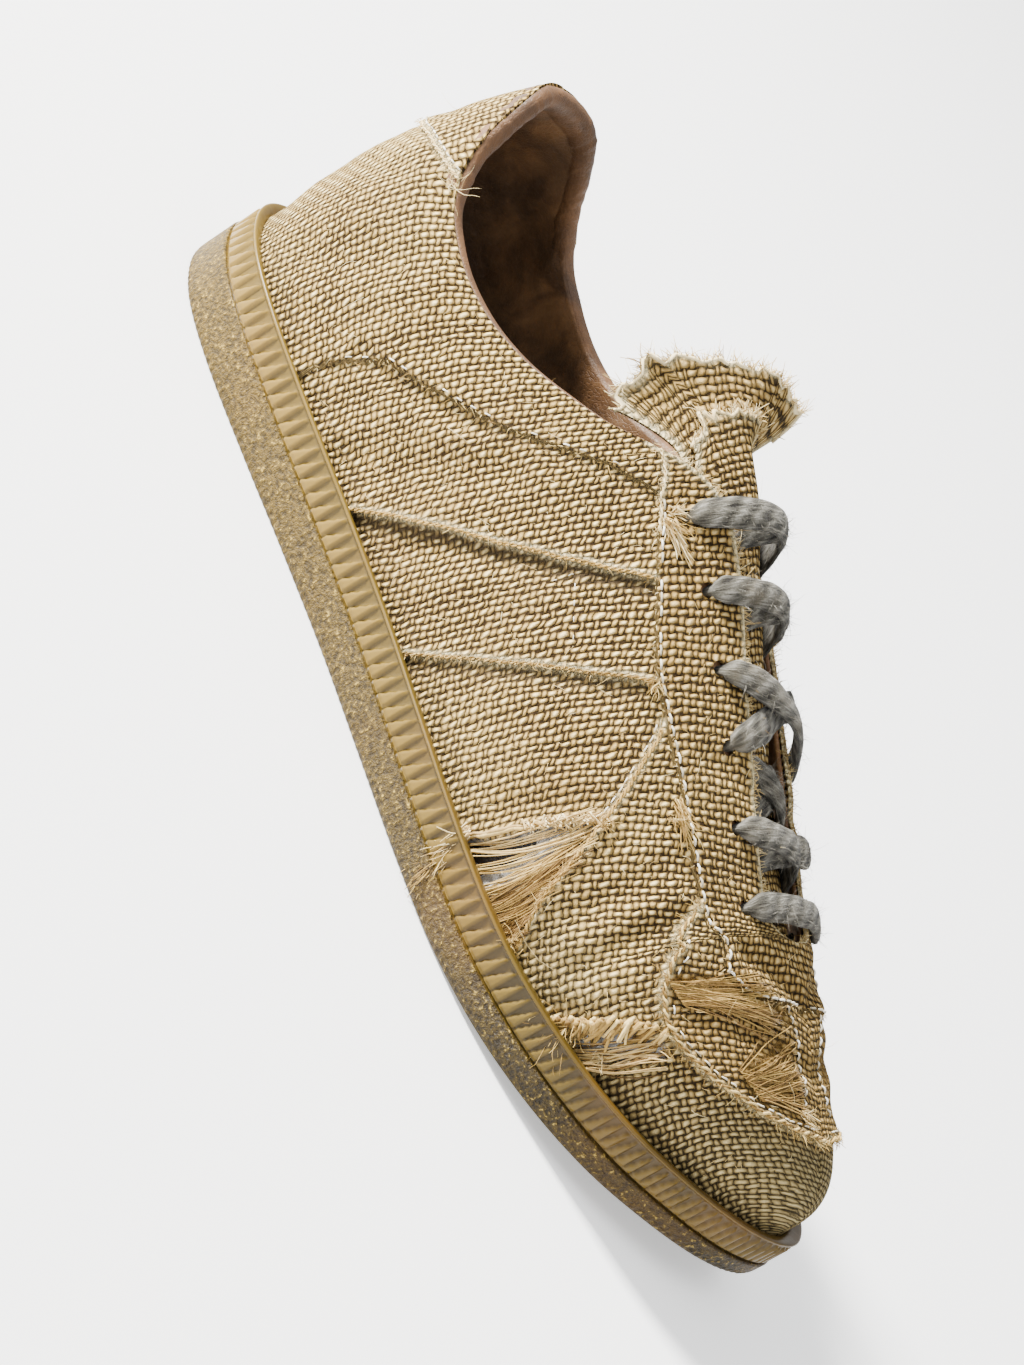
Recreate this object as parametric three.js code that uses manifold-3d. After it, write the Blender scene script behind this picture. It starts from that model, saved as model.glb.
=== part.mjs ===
// Low-top lace-up sneaker, right shoe, for an adult foot (about EU 43).
// Millimetres. +X points to the toe, +Z is up, the outer side of the foot is -Y, the inner side is +Y.
// Every curved piece is worked out from the same last: stations run from heel (0) to toe (1),
// and each cross-section is worked out from the sole outline, the ridge height and the section shape there.
import * as THREE from 'three';
import { mergeVertices } from 'three/addons/utils/BufferGeometryUtils.js';
import Module from 'manifold-3d';

// ---------------------------------------------------------------- driving dimensions
const LENGTH = 298;            // outsole, heel to toe
const FIT_GAP = 0.3;           // between pieces that are glued or stitched together
const UPPER_INSET = 4.5;       // outer face of the upper, in from the outsole's widest line
const WALL = 2.2;              // hessian and leather lining together
const COLLAR_WALL = 4.6;       // padded edge round the ankle
const INSET_SPAN = 48;         // half-width that an inset is measured against
const SPRING_START = 0.68;     // the outsole leaves the ground here
const TOE_SPRING = 10;         // and is this high under the toe
const BAND_HEIGHT = 9.5;       // foxing band at the top of the sidewall
const INSOLE_THICK = 3.6;
const GROOVE_DEPTH = 2.2;      // tread grooves
const ARCH_DEPTH = 2.6;        // relief under the waist
const EYELET_RADIUS = 2.0;
const EYELET_FIRST = 0.775;    // row 1, at the toe end
const EYELET_LAST = 0.468;     // row 6, at the collar
const THROAT_FRONT = 0.797;    // front end of the throat opening
const THROAT_ROUND = 0.77;     // the throat starts to close here
const LACE_WIDTH = 8.0;
const LACE_THICK = 2.4;
const TONGUE_THICK = 2.8;
const TONGUE_DROP = 6.2;       // tongue lies this far under the eyestays' outer face
const TONGUE_FOOT_DROP = 3.1;  // and this far under the vamp where it is stitched in

// station, outer side y, inner side y, ridge y
const OUTLINE = [
  [0.00, 0, 0, 0], [0.03, -22, 22, 0], [0.08, -33, 33, 0], [0.15, -38.5, 38.5, 0],
  [0.24, -40.5, 39, 0.5], [0.34, -41.5, 37.5, 2.5], [0.44, -43.5, 37.5, 5.5], [0.54, -47.5, 41, 8],
  [0.63, -51, 47, 9.5], [0.71, -52.5, 52, 11], [0.78, -50.5, 54.5, 13], [0.85, -43.5, 53.5, 15],
  [0.91, -32, 49.5, 17], [0.96, -14, 41.5, 18.5], [1.00, 19, 19, 19],
];
// station, height of the sidewall's top edge above the underside
const RIM = [[0, 22.8], [0.15, 22], [0.3, 20.8], [0.5, 19.2], [0.7, 17.8], [0.85, 17.1], [1, 16.4]];
// station, height of the footbed floor above the underside
const FLOOR = [[0, 13], [0.3, 12.5], [0.6, 11], [1, 10]];
// station, height of the last's ridge
const RIDGE = [
  [0.00, 128], [0.10, 128], [0.25, 127], [0.34, 122], [0.42, 110.5], [0.50, 99], [0.58, 87.5],
  [0.66, 76.5], [0.74, 66.5], [0.80, 59.5], [0.86, 53], [0.91, 47.5], [0.95, 43], [0.98, 38.5], [1, 29],
];
// station, power of the half-width, power of the height, side swell
const SHAPE = [
  [0.00, 0.62, 0.62, 0.0], [0.15, 0.75, 0.75, 1.5], [0.30, 0.92, 0.90, 1.5], [0.45, 1.00, 0.94, 2.0],
  [0.60, 0.98, 0.92, 3.5], [0.75, 0.92, 0.87, 4.2], [0.90, 0.82, 0.78, 3.0], [1.00, 0.70, 0.70, 0.0],
];
// station, height of the collar edge
const COLLAR = [
  [0.00, 102], [0.03, 99.5], [0.06, 92], [0.09, 83], [0.125, 75.5], [0.17, 71.5],
  [0.23, 70.5], [0.29, 74], [0.35, 81.5], [0.40, 89], [0.45, 97],
];
// station, half-width of the throat opening
const THROAT = [[0.36, 30], [0.40, 27.5], [0.425, 24], [0.45, 19.5], [0.475, 16.5], [0.51, 14.8],
  [0.6, 14.2], [0.7, 14], [0.8, 14]];
// rows 1 to 6: eyelet distance from the ridge line
const EYELET_OUT = [21.7, 21.7, 21.8, 22.2, 23.2, 25.5];

// ---------------------------------------------------------------- small maths
function clamp(v, lo, hi) {
  return Math.min(hi, Math.max(lo, v));
}

function ease(v) {
  const t = clamp(v, 0, 1);
  return t * t * (3 - 2 * t);
}

// share of the length turned into an angle share, so that tables close in round ends
function roundEnds(share) {
  return Math.acos(clamp(1 - 2 * share, -1, 1)) / Math.PI;
}

// smooth curve through a table's rows; column 1 is the first value
function through(table, share, column, rounded) {
  const warp = rounded ? roundEnds : (v) => v;
  const xs = table.map((row) => warp(row[0]));
  const vs = table.map((row) => row[column]);
  const last = xs.length - 1;
  const rise = [];
  const step = [];
  for (let i = 0; i < last; i += 1) {
    step.push(xs[i + 1] - xs[i]);
    rise.push((vs[i + 1] - vs[i]) / (xs[i + 1] - xs[i]));
  }
  const slope = new Array(xs.length);
  for (let i = 1; i < last; i += 1) {
    slope[i] = (rise[i - 1] * step[i] + rise[i] * step[i - 1]) / (step[i - 1] + step[i]);
  }
  slope[0] = 1.5 * rise[0] - 0.5 * slope[1];
  slope[last] = 1.5 * rise[last - 1] - 0.5 * slope[last - 1];
  const x = clamp(warp(share), xs[0], xs[last]);
  let k = 0;
  while (k < last - 1 && x > xs[k + 1]) {
    k += 1;
  }
  const t = (x - xs[k]) / step[k];
  const a = 2 * t ** 3 - 3 * t ** 2 + 1;
  const b = t ** 3 - 2 * t ** 2 + t;
  const c = -2 * t ** 3 + 3 * t ** 2;
  const d = t ** 3 - t ** 2;
  return a * vs[k] + b * step[k] * slope[k] + c * vs[k + 1] + d * step[k] * slope[k + 1];
}

// ---------------------------------------------------------------- the last
function springAt(share) {
  return TOE_SPRING * Math.max(0, (share - SPRING_START) / (1 - SPRING_START)) ** 2;
}

function rimAt(share) {
  return through(RIM, share, 1, false) + 0.9 * springAt(share);
}

function floorAt(share) {
  return through(FLOOR, share, 1, false) + springAt(share);
}

// plan outline moved in by `inset`; side -1 is the outer side, +1 the inner side
function outlineAt(share, inset) {
  const squeeze = 1 - inset / INSET_SPAN;
  const ridge = through(OUTLINE, share, 3, true);
  const outer = through(OUTLINE, share, 1, true);
  const inner = through(OUTLINE, share, 2, true);
  return {
    x: inset + (LENGTH - 2 * inset) * share,
    outer: ridge + (outer - ridge) * squeeze,
    inner: ridge + (inner - ridge) * squeeze,
    ridge,
  };
}

// point on the upper's outer face: `out` is 0 on the ridge and 1 at the feather edge
function lastPoint(share, out, side) {
  const plan = outlineAt(share, UPPER_INSET);
  const floor = floorAt(plan.x / LENGTH);
  const height = Math.max(1, through(RIDGE, share, 1, true) - floor);
  const width = side < 0 ? plan.ridge - plan.outer : plan.inner - plan.ridge;
  const sine = clamp(out, 0, 1);
  const cosine = Math.sqrt(1 - sine * sine);
  const up = cosine ** through(SHAPE, share, 2, false);
  const free = (rimAt(plan.x / LENGTH) + 1 - floor) / height;
  const swell = through(SHAPE, share, 3, false) * ease((up - free) / 0.28) * (1 - up);
  const z = floor + height * up;
  const y = plan.ridge + side * (width * sine ** through(SHAPE, share, 1, false) + swell);
  const rise = clamp((z - 26) / 74, 0, 1.3);
  const back = Math.max(0, 1 - share / 0.25) ** 1.5;
  return new THREE.Vector3(plan.x + back * (11 * rise * rise - 8 * rise * (1 - rise)), y, z);
}

// `out` value where the section is `distance` from the ridge line
function outAtDistance(share, distance, side) {
  const ridge = outlineAt(share, UPPER_INSET).ridge;
  let lo = 0;
  let hi = 1;
  for (let i = 0; i < 40; i += 1) {
    const mid = (lo + hi) / 2;
    if (Math.abs(lastPoint(share, mid, side).y - ridge) < distance) {
      lo = mid;
    } else {
      hi = mid;
    }
  }
  return (lo + hi) / 2;
}

// `out` value where the section is at height z
function outAtHeight(share, z, side) {
  let lo = 0;
  let hi = 1;
  for (let i = 0; i < 40; i += 1) {
    const mid = (lo + hi) / 2;
    if (lastPoint(share, mid, side).z > z) {
      lo = mid;
    } else {
      hi = mid;
    }
  }
  return (lo + hi) / 2;
}

// top edge of the upper: the collar at the back, the throat in front of it
function topOut(share, side) {
  if (share >= THROAT_FRONT) {
    return 0;
  }
  let half = through(THROAT, share, 1, false);
  if (share > THROAT_ROUND) {
    const t = (share - THROAT_ROUND) / (THROAT_FRONT - THROAT_ROUND);
    half *= Math.sqrt(Math.max(0, 1 - t * t));
  }
  const mix = ease((share - 0.37) / 0.06);
  const throat = share > 0.36 ? outAtDistance(share, half, side) : 0;
  const collar = share < 0.45 ? outAtHeight(share, through(COLLAR, share, 1, false), side) : 0;
  return collar * (1 - mix) + throat * mix;
}

// outward normal of the last at a point
function lastNormal(share, out, side) {
  const e = 0.002;
  const a = lastPoint(clamp(share + e, 0.001, 0.999), out, side);
  const b = lastPoint(clamp(share - e, 0.001, 0.999), out, side);
  const c = lastPoint(share, Math.min(1, out + 0.01), side);
  const d = lastPoint(share, Math.max(0, out - 0.01), side);
  const along = a.sub(b);
  const down = c.sub(d);
  const normal = new THREE.Vector3().crossVectors(along, down).multiplyScalar(side);
  return normal.normalize();
}

// point `lift` above the last's face, `distance` from the ridge (negative to the outer side)
function overLast(share, distance, lift) {
  const side = distance < 0 ? -1 : 1;
  const out = outAtDistance(share, Math.abs(distance), side);
  const point = lastPoint(share, out, side);
  const normal = lastNormal(share, Math.max(out, 0.02), side);
  if (Math.abs(distance) < 6) {
    normal.y *= Math.abs(distance) / 6;
    normal.normalize();
  }
  return { point: point.addScaledVector(normal, lift), normal };
}

// ---------------------------------------------------------------- mesh helpers
function geometryFrom(points, faces) {
  const flat = new Float32Array(faces.length * 9);
  let n = 0;
  for (const face of faces) {
    for (const index of face) {
      flat[n] = points[index].x;
      flat[n + 1] = points[index].y;
      flat[n + 2] = points[index].z;
      n += 3;
    }
  }
  const geometry = new THREE.BufferGeometry();
  geometry.setAttribute('position', new THREE.BufferAttribute(flat, 3));
  return geometry;
}

// joins corners that share a place and drops faces that have closed up
function weld(points, faces) {
  const seen = new Map();
  const kept = [];
  const place = points.map((p) => {
    const key = [p.x, p.y, p.z].map((v) => Math.round(v * 2000)).join(' ');
    if (!seen.has(key)) {
      seen.set(key, kept.length);
      kept.push(p);
    }
    return seen.get(key);
  });
  const out = [];
  for (const face of faces) {
    const [a, b, c] = face.map((i) => place[i]);
    if (a !== b && b !== c && c !== a) {
      out.push([a, b, c]);
    }
  }
  return { points: kept, faces: out };
}

// turns an open sheet into a solid: a copy moved inwards along the normals, and walls round its edges
function thicken(sheet, depthAt) {
  const { points, faces } = sheet;
  const normals = points.map(() => new THREE.Vector3());
  for (const [a, b, c] of faces) {
    const u = points[b].clone().sub(points[a]);
    const v = points[c].clone().sub(points[a]);
    const n = u.cross(v);
    normals[a].add(n);
    normals[b].add(n);
    normals[c].add(n);
  }
  const count = points.length;
  const all = points.map((p) => p.clone());
  points.forEach((p, i) => {
    all.push(p.clone().addScaledVector(normals[i].normalize(), -depthAt(p, i)));
  });
  const outFaces = faces.map((f) => [...f]);
  const edges = new Map();
  for (const [a, b, c] of faces) {
    outFaces.push([a + count, c + count, b + count]);
    for (const [p, q] of [[a, b], [b, c], [c, a]]) {
      edges.set(`${p} ${q}`, [p, q]);
    }
  }
  for (const [p, q] of edges.values()) {
    if (!edges.has(`${q} ${p}`)) {
      outFaces.push([q, p, p + count]);
      outFaces.push([q, p + count, q + count]);
    }
  }
  return { points: all, faces: outFaces };
}

// stack of closed loops with a cap at each end; a cap is a strip of cross-rows
function stackedLoops(loops, capRows) {
  const points = [];
  const faces = [];
  const size = loops[0].length;
  for (const loop of loops) {
    points.push(...loop);
  }
  for (let r = 0; r + 1 < loops.length; r += 1) {
    for (let i = 0; i < size; i += 1) {
      const j = (i + 1) % size;
      const a = r * size + i;
      const b = r * size + j;
      faces.push([a, b + size, a + size]);
      faces.push([a, b, b + size]);
    }
  }
  const half = size / 2;
  const cap = (base, heightAt, up) => {
    const rows = [];
    for (let i = 0; i <= half; i += 1) {
      const left = base + i;
      const right = base + ((size - i) % size);
      const row = [left];
      if (i > 0 && i < half) {
        for (let k = 1; k < capRows; k += 1) {
          const t = k / capRows;
          const p = points[left].clone().lerp(points[right], t);
          p.z = heightAt(p);
          points.push(p);
          row.push(points.length - 1);
        }
        row.push(right);
      }
      rows.push(row);
    }
    for (let i = 0; i < half; i += 1) {
      const near = rows[i];
      const far = rows[i + 1];
      for (let k = 0; k < capRows; k += 1) {
        const a = near[Math.min(k, near.length - 1)];
        const b = near[Math.min(k + 1, near.length - 1)];
        const c = far[Math.min(k, far.length - 1)];
        const d = far[Math.min(k + 1, far.length - 1)];
        const quad = up ? [[a, c, d], [a, d, b]] : [[a, d, c], [a, b, d]];
        faces.push(...quad.filter(([p, q, r]) => p !== q && q !== r && r !== p));
      }
    }
  };
  return { points, faces, cap };
}

// closed plan loop: along the outer side to the toe, back along the inner side
function planLoop(steps, inset, heightAt) {
  const loop = [];
  for (let i = 0; i <= steps; i += 1) {
    const share = (1 - Math.cos((Math.PI * i) / steps)) / 2;
    const plan = outlineAt(share, inset);
    loop.push(new THREE.Vector3(plan.x, plan.outer, heightAt(plan.x / LENGTH)));
  }
  for (let i = steps - 1; i > 0; i -= 1) {
    const share = (1 - Math.cos((Math.PI * i) / steps)) / 2;
    const plan = outlineAt(share, inset);
    loop.push(new THREE.Vector3(plan.x, plan.inner, heightAt(plan.x / LENGTH)));
  }
  return loop;
}

// flat strap swept along points that each carry the normal of the face below
function strap(stations, width, thick) {
  const points = [];
  const faces = [];
  const last = stations.length - 1;
  stations.forEach((station, i) => {
    const before = stations[Math.max(0, i - 1)].point;
    const after = stations[Math.min(last, i + 1)].point;
    const along = after.clone().sub(before).normalize();
    const across = new THREE.Vector3().crossVectors(station.normal, along).normalize();
    const up = new THREE.Vector3().crossVectors(along, across).normalize();
    const round = 0.32;
    const shape = [[-0.5, 0], [-0.5 + round * 0.4, -0.5], [0.5 - round * 0.4, -0.5], [0.5, 0],
      [0.5 - round * 0.4, 0.5], [-0.5 + round * 0.4, 0.5]];
    for (const [u, v] of shape) {
      const p = station.point.clone().addScaledVector(across, u * width);
      points.push(p.addScaledVector(up, (v + 0.5) * thick));
    }
  });
  const ring = 6;
  for (let i = 0; i < last; i += 1) {
    for (let k = 0; k < ring; k += 1) {
      const a = i * ring + k;
      const b = i * ring + ((k + 1) % ring);
      faces.push([a, b, b + ring]);
      faces.push([a, b + ring, a + ring]);
    }
  }
  for (let k = 1; k + 1 < ring; k += 1) {
    faces.push([0, k + 1, k]);
    faces.push([last * ring, last * ring + k, last * ring + k + 1]);
  }
  return { points, faces };
}

const wasm = await Module();
wasm.setup();

function toSolid(geometry) {
  const clean = geometry.clone();
  clean.deleteAttribute('normal');
  clean.deleteAttribute('uv');
  const welded = mergeVertices(clean, 1e-4);
  return new wasm.Manifold(new wasm.Mesh({
    numProp: 3,
    vertProperties: new Float32Array(welded.attributes.position.array),
    triVerts: new Uint32Array(welded.index.array),
  }));
}

function fromSolid(solid) {
  const mesh = solid.getMesh();
  const geometry = new THREE.BufferGeometry();
  geometry.setAttribute('position', new THREE.BufferAttribute(new Float32Array(mesh.vertProperties), 3));
  geometry.setIndex(new THREE.BufferAttribute(new Uint32Array(mesh.triVerts), 1));
  return geometry;
}

function solidOf(parts) {
  return toSolid(geometryFrom(parts.points, parts.faces));
}

const shoe = new THREE.Group();
shoe.name = 'sneaker';

function addPiece(name, solid, colour) {
  const material = new THREE.MeshStandardMaterial({ color: colour, roughness: 0.8 });
  material.name = `${name}_material`;
  const mesh = new THREE.Mesh(fromSolid(solid), material);
  mesh.name = name;
  shoe.add(mesh);
}

// ---------------------------------------------------------------- outsole
const SOLE_STEPS = 46;
const bandFoot = (s) => rimAt(s) - BAND_HEIGHT;
const cupFloor = (s) => floorAt(s) - FIT_GAP;
const soleLoops = [
  planLoop(SOLE_STEPS, 1.4, springAt),
  planLoop(SOLE_STEPS, 0.2, (s) => springAt(s) + 1.4),
  planLoop(SOLE_STEPS, 0.0, (s) => bandFoot(s) - 0.4),
  planLoop(SOLE_STEPS, 0.9, bandFoot),
  planLoop(SOLE_STEPS, 0.9, (s) => rimAt(s) - 1.3),
  planLoop(SOLE_STEPS, 0.5, (s) => rimAt(s) - 0.7),
  planLoop(SOLE_STEPS, 1.2, rimAt),
  planLoop(SOLE_STEPS, 3.4, (s) => rimAt(s) + 0.2),
  planLoop(SOLE_STEPS, UPPER_INSET - FIT_GAP, (s) => rimAt(s) - 0.6),
  planLoop(SOLE_STEPS, UPPER_INSET - FIT_GAP, cupFloor),
];
const sole = stackedLoops(soleLoops, 4);
sole.cap(0, (p) => springAt(p.x / LENGTH), false);
sole.cap((soleLoops.length - 1) * soleLoops[0].length, (p) => cupFloor(p.x / LENGTH), true);
let outsole = solidOf(sole);

// tread: cross grooves at heel and forefoot, cut from below and kept inside the outline
const grooveCutters = [];
const addGroove = (from, to, depth, margin) => {
  const rows = 4;
  const points = [];
  const faces = [];
  for (let i = 0; i <= rows; i += 1) {
    const x = from + ((to - from) * i) / rows;
    const share = x / LENGTH;
    const plan = outlineAt(share, 0);
    const top = springAt(share) + depth;
    points.push(new THREE.Vector3(x, plan.outer + margin, -4));
    points.push(new THREE.Vector3(x, plan.inner - margin, -4));
    points.push(new THREE.Vector3(x, plan.inner - margin, top));
    points.push(new THREE.Vector3(x, plan.outer + margin, top));
  }
  for (let i = 0; i < rows; i += 1) {
    for (let k = 0; k < 4; k += 1) {
      const a = i * 4 + k;
      const b = i * 4 + ((k + 1) % 4);
      faces.push([a, b, b + 4]);
      faces.push([a, b + 4, a + 4]);
    }
  }
  faces.push([0, 2, 1]);
  faces.push([0, 3, 2]);
  faces.push([rows * 4, rows * 4 + 1, rows * 4 + 2]);
  faces.push([rows * 4, rows * 4 + 2, rows * 4 + 3]);
  grooveCutters.push(solidOf({ points, faces }));
};
for (const x of [20, 34, 62, 76]) {
  addGroove(x, x + 4.5, GROOVE_DEPTH, 8);
}
addGroove(94, 148, ARCH_DEPTH, 7);
for (const x of [160, 174, 208, 222, 236, 250, 264]) {
  addGroove(x, x + 4.5, GROOVE_DEPTH, 8);
}
for (const cutter of grooveCutters) {
  outsole = outsole.subtract(cutter);
}
addPiece('outsole', outsole, 0xa98a52);

// ---------------------------------------------------------------- upper
const UPPER_ROWS = 10;
const upperStations = [];
const addStations = (from, to, count) => {
  for (let i = 0; i < count; i += 1) {
    upperStations.push(from + ((to - from) * i) / count);
  }
};
for (let i = 0; i < 12; i += 1) {
  upperStations.push(0.16 * (1 - Math.cos((Math.PI * i) / 24)));
}
addStations(0.16, 0.36, 8);
addStations(0.36, 0.5, 7);
addStations(0.5, THROAT_ROUND, 9);
for (let i = 0; i < 6; i += 1) {
  const span = THROAT_FRONT - THROAT_ROUND;
  upperStations.push(THROAT_ROUND + span * Math.sin((Math.PI * i) / 12));
}
addStations(THROAT_FRONT, 0.9, 5);
for (let i = 0; i <= 10; i += 1) {
  upperStations.push(0.9 + 0.1 * Math.sin((Math.PI * i) / 20));
}

// even points up one section, from the feather edge to the top edge
function sectionRow(share, side, rows) {
  const top = topOut(share, side);
  const fine = 90;
  const path = [];
  for (let i = 0; i <= fine; i += 1) {
    const angle = Math.PI / 2 + (Math.asin(clamp(top, 0, 1)) - Math.PI / 2) * (i / fine);
    path.push(lastPoint(share, Math.sin(angle), side));
  }
  const run = [0];
  for (let i = 1; i <= fine; i += 1) {
    run.push(run[i - 1] + path[i].distanceTo(path[i - 1]));
  }
  const row = [];
  let k = 0;
  for (let j = 0; j <= rows; j += 1) {
    const goal = (run[fine] * j) / rows;
    while (k < fine - 1 && run[k + 1] < goal) {
      k += 1;
    }
    const t = (goal - run[k]) / Math.max(1e-9, run[k + 1] - run[k]);
    row.push(path[k].clone().lerp(path[k + 1], clamp(t, 0, 1)));
  }
  return row;
}

const upperPoints = [];
const upperFaces = [];
const depthHint = new Map();
for (const side of [-1, 1]) {
  const base = upperPoints.length;
  for (const share of upperStations) {
    const row = sectionRow(share, side, UPPER_ROWS);
    const reach = row[UPPER_ROWS].distanceTo(row[0]);
    row.forEach((p, j) => {
      const fromTop = reach * (1 - j / UPPER_ROWS);
      const padded = ease((18 - fromTop) / 14) * ease((0.3 - share) / 0.12);
      depthHint.set(p, WALL + (COLLAR_WALL - WALL) * padded);
      upperPoints.push(p);
    });
  }
  const line = UPPER_ROWS + 1;
  for (let i = 0; i + 1 < upperStations.length; i += 1) {
    for (let j = 0; j < UPPER_ROWS; j += 1) {
      const a = base + i * line + j;
      const b = a + line;
      if (side < 0) {
        upperFaces.push([a, b, b + 1], [a, b + 1, a + 1]);
      } else {
        upperFaces.push([a, b + 1, b], [a, a + 1, b + 1]);
      }
    }
  }
}
const upperSheet = weld(upperPoints, upperFaces);
const upperShell = thicken(upperSheet, (p) => depthHint.get(p));
let upper = solidOf(upperShell);

// eyelet holes, six a side
const eyeletRows = EYELET_OUT.map((out, i) => {
  const share = EYELET_FIRST + ((EYELET_LAST - EYELET_FIRST) * i) / 5;
  return { share, out };
});
for (const row of eyeletRows) {
  for (const side of [-1, 1]) {
    const at = overLast(row.share, side * row.out, 0);
    const drill = new THREE.CylinderGeometry(EYELET_RADIUS, EYELET_RADIUS, 14, 10);
    const turn = new THREE.Quaternion().setFromUnitVectors(new THREE.Vector3(0, 1, 0), at.normal);
    drill.applyQuaternion(turn);
    drill.translate(at.point.x, at.point.y, at.point.z);
    upper = upper.subtract(toSolid(drill));
  }
}
addPiece('upper', upper, 0xb89e6c);

// ---------------------------------------------------------------- insole
const INSOLE_STEPS = 30;
const insoleInset = UPPER_INSET + WALL + 2.0;
const insoleLoops = [
  planLoop(INSOLE_STEPS, insoleInset, (s) => floorAt(s)),
  planLoop(INSOLE_STEPS, insoleInset, (s) => floorAt(s) + INSOLE_THICK - 0.8),
  planLoop(INSOLE_STEPS, insoleInset + 0.8, (s) => floorAt(s) + INSOLE_THICK),
];
const insoleShell = stackedLoops(insoleLoops, 4);
insoleShell.cap(0, (p) => floorAt(p.x / LENGTH), false);
insoleShell.cap(2 * insoleLoops[0].length, (p) => floorAt(p.x / LENGTH) + INSOLE_THICK, true);
addPiece('insole', solidOf(insoleShell), 0xb7ada0);

// ---------------------------------------------------------------- tongue
const TONGUE_ROWS = 22;
const TONGUE_COLS = 8;
const TONGUE_TOP = 0.352;
const TONGUE_FOOT = 0.835;
const tonguePoints = [];
const tongueFaces = [];
for (let i = 0; i <= TONGUE_ROWS; i += 1) {
  const share = TONGUE_FOOT + ((TONGUE_TOP - TONGUE_FOOT) * i) / TONGUE_ROWS;
  const waist = 3 * ease((0.47 - share) / 0.05) - 6.5 * ease((0.39 - share) / 0.035);
  const half = 20 + 5.5 * ease((0.8 - share) / 0.35) - waist;
  for (let j = 0; j <= TONGUE_COLS; j += 1) {
    const across = -half + (2 * half * j) / TONGUE_COLS;
    const settle = ease((TONGUE_FOOT - share) / 0.05);
    const sink = 1.6 * ease((0.46 - share) / 0.05);
    const lift = -(TONGUE_FOOT_DROP + (TONGUE_DROP - TONGUE_FOOT_DROP) * settle + sink);
    const at = overLast(share, across, lift).point;
    const free = ease((0.42 - share) / 0.07);
    const crown = overLast(share, 0, lift).point;
    const part = across / half;
    const flat = crown.z + (part < 0 ? -19 * part * part : 5 * part - 2 * part * part);
    const swing = 8 * part;   // the free end is twisted, inner side up and forward
    at.y += free * ((crown.y + across) - at.y);
    at.x += free * ((crown.x + swing) - at.x);
    at.z += free * (flat - at.z);
    tonguePoints.push(at);
  }
}
for (let i = 0; i < TONGUE_ROWS; i += 1) {
  for (let j = 0; j < TONGUE_COLS; j += 1) {
    const a = i * (TONGUE_COLS + 1) + j;
    const b = a + TONGUE_COLS + 1;
    tongueFaces.push([a, a + 1, b + 1], [a, b + 1, b]);
  }
}
const tongueSheet = thicken({ points: tonguePoints, faces: tongueFaces }, () => TONGUE_THICK);
addPiece('tongue', solidOf(tongueSheet), 0xa98d5c);

// ---------------------------------------------------------------- laces
// strap from (share, distance) to (share, distance); lifts are given along the way
function laceRun(from, to, lifts) {
  const steps = 10;
  const stations = [];
  for (let i = 0; i <= steps; i += 1) {
    const t = i / steps;
    const share = from[0] + (to[0] - from[0]) * t;
    const distance = from[1] + (to[1] - from[1]) * t;
    stations.push(overLast(share, distance, through(lifts, t, 1, false)));
  }
  return solidOf(strap(stations, LACE_WIDTH, LACE_THICK));
}

const rowShare = (row) => eyeletRows[0].share + ((EYELET_LAST - EYELET_FIRST) * (row - 1)) / 5;
const rowOut = (row) => eyeletRows[row - 1].out;
const clear = 0.7;
const over = clear + LACE_THICK - 0.15;
const flatRun = [[0, clear], [0.5, clear], [1, clear]];
const highRun = [[0, clear], [0.32, over], [0.5, over], [0.68, over], [1, clear]];

addPiece('lace_bar_1', laceRun([rowShare(1), -rowOut(1)], [rowShare(1), rowOut(1)], flatRun), 0x8f8c80);

// crossings laid on the outside: the upper ends sit over the eyelets of `row`
function crossing(name, row, lowRow, lowOut) {
  const high = rowShare(row);
  const low = rowShare(lowRow);
  const a = laceRun([low, -lowOut], [high, rowOut(row)], flatRun);
  const b = laceRun([low, lowOut], [high, -rowOut(row)], highRun);
  addPiece(name, a.add(b), 0x8f8c80);
}
crossing('lace_cross_2', 2, 1.62, 19);
crossing('lace_cross_4', 4, 3.3, rowOut(3));
crossing('lace_cross_5', 5, 4.62, 19);
crossing('lace_cross_6', 6, 5.62, 20);

// centre the part over its own footprint
shoe.updateMatrixWorld(true);
const box = new THREE.Box3().setFromObject(shoe);
const middle = box.getCenter(new THREE.Vector3());
for (const mesh of shoe.children) {
  mesh.geometry.translate(-middle.x, -middle.y, -box.min.z);
  mesh.geometry.computeVertexNormals();
}
export default shoe;
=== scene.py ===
# %% [markdown]
# # A worn hessian low-top, laid up piece by piece
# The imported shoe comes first: it is the fixed frame that every visible piece is fitted to. Its box is kept,
# because the finished shoe has to stay inside it. Numbers below are in millimetres in the shoemaker's own
# frame, heel at x = 0, and one function turns them into metres in the frame of the pack.

import bmesh
import bpy
import numpy as np
from mathutils import Matrix, Vector


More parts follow.
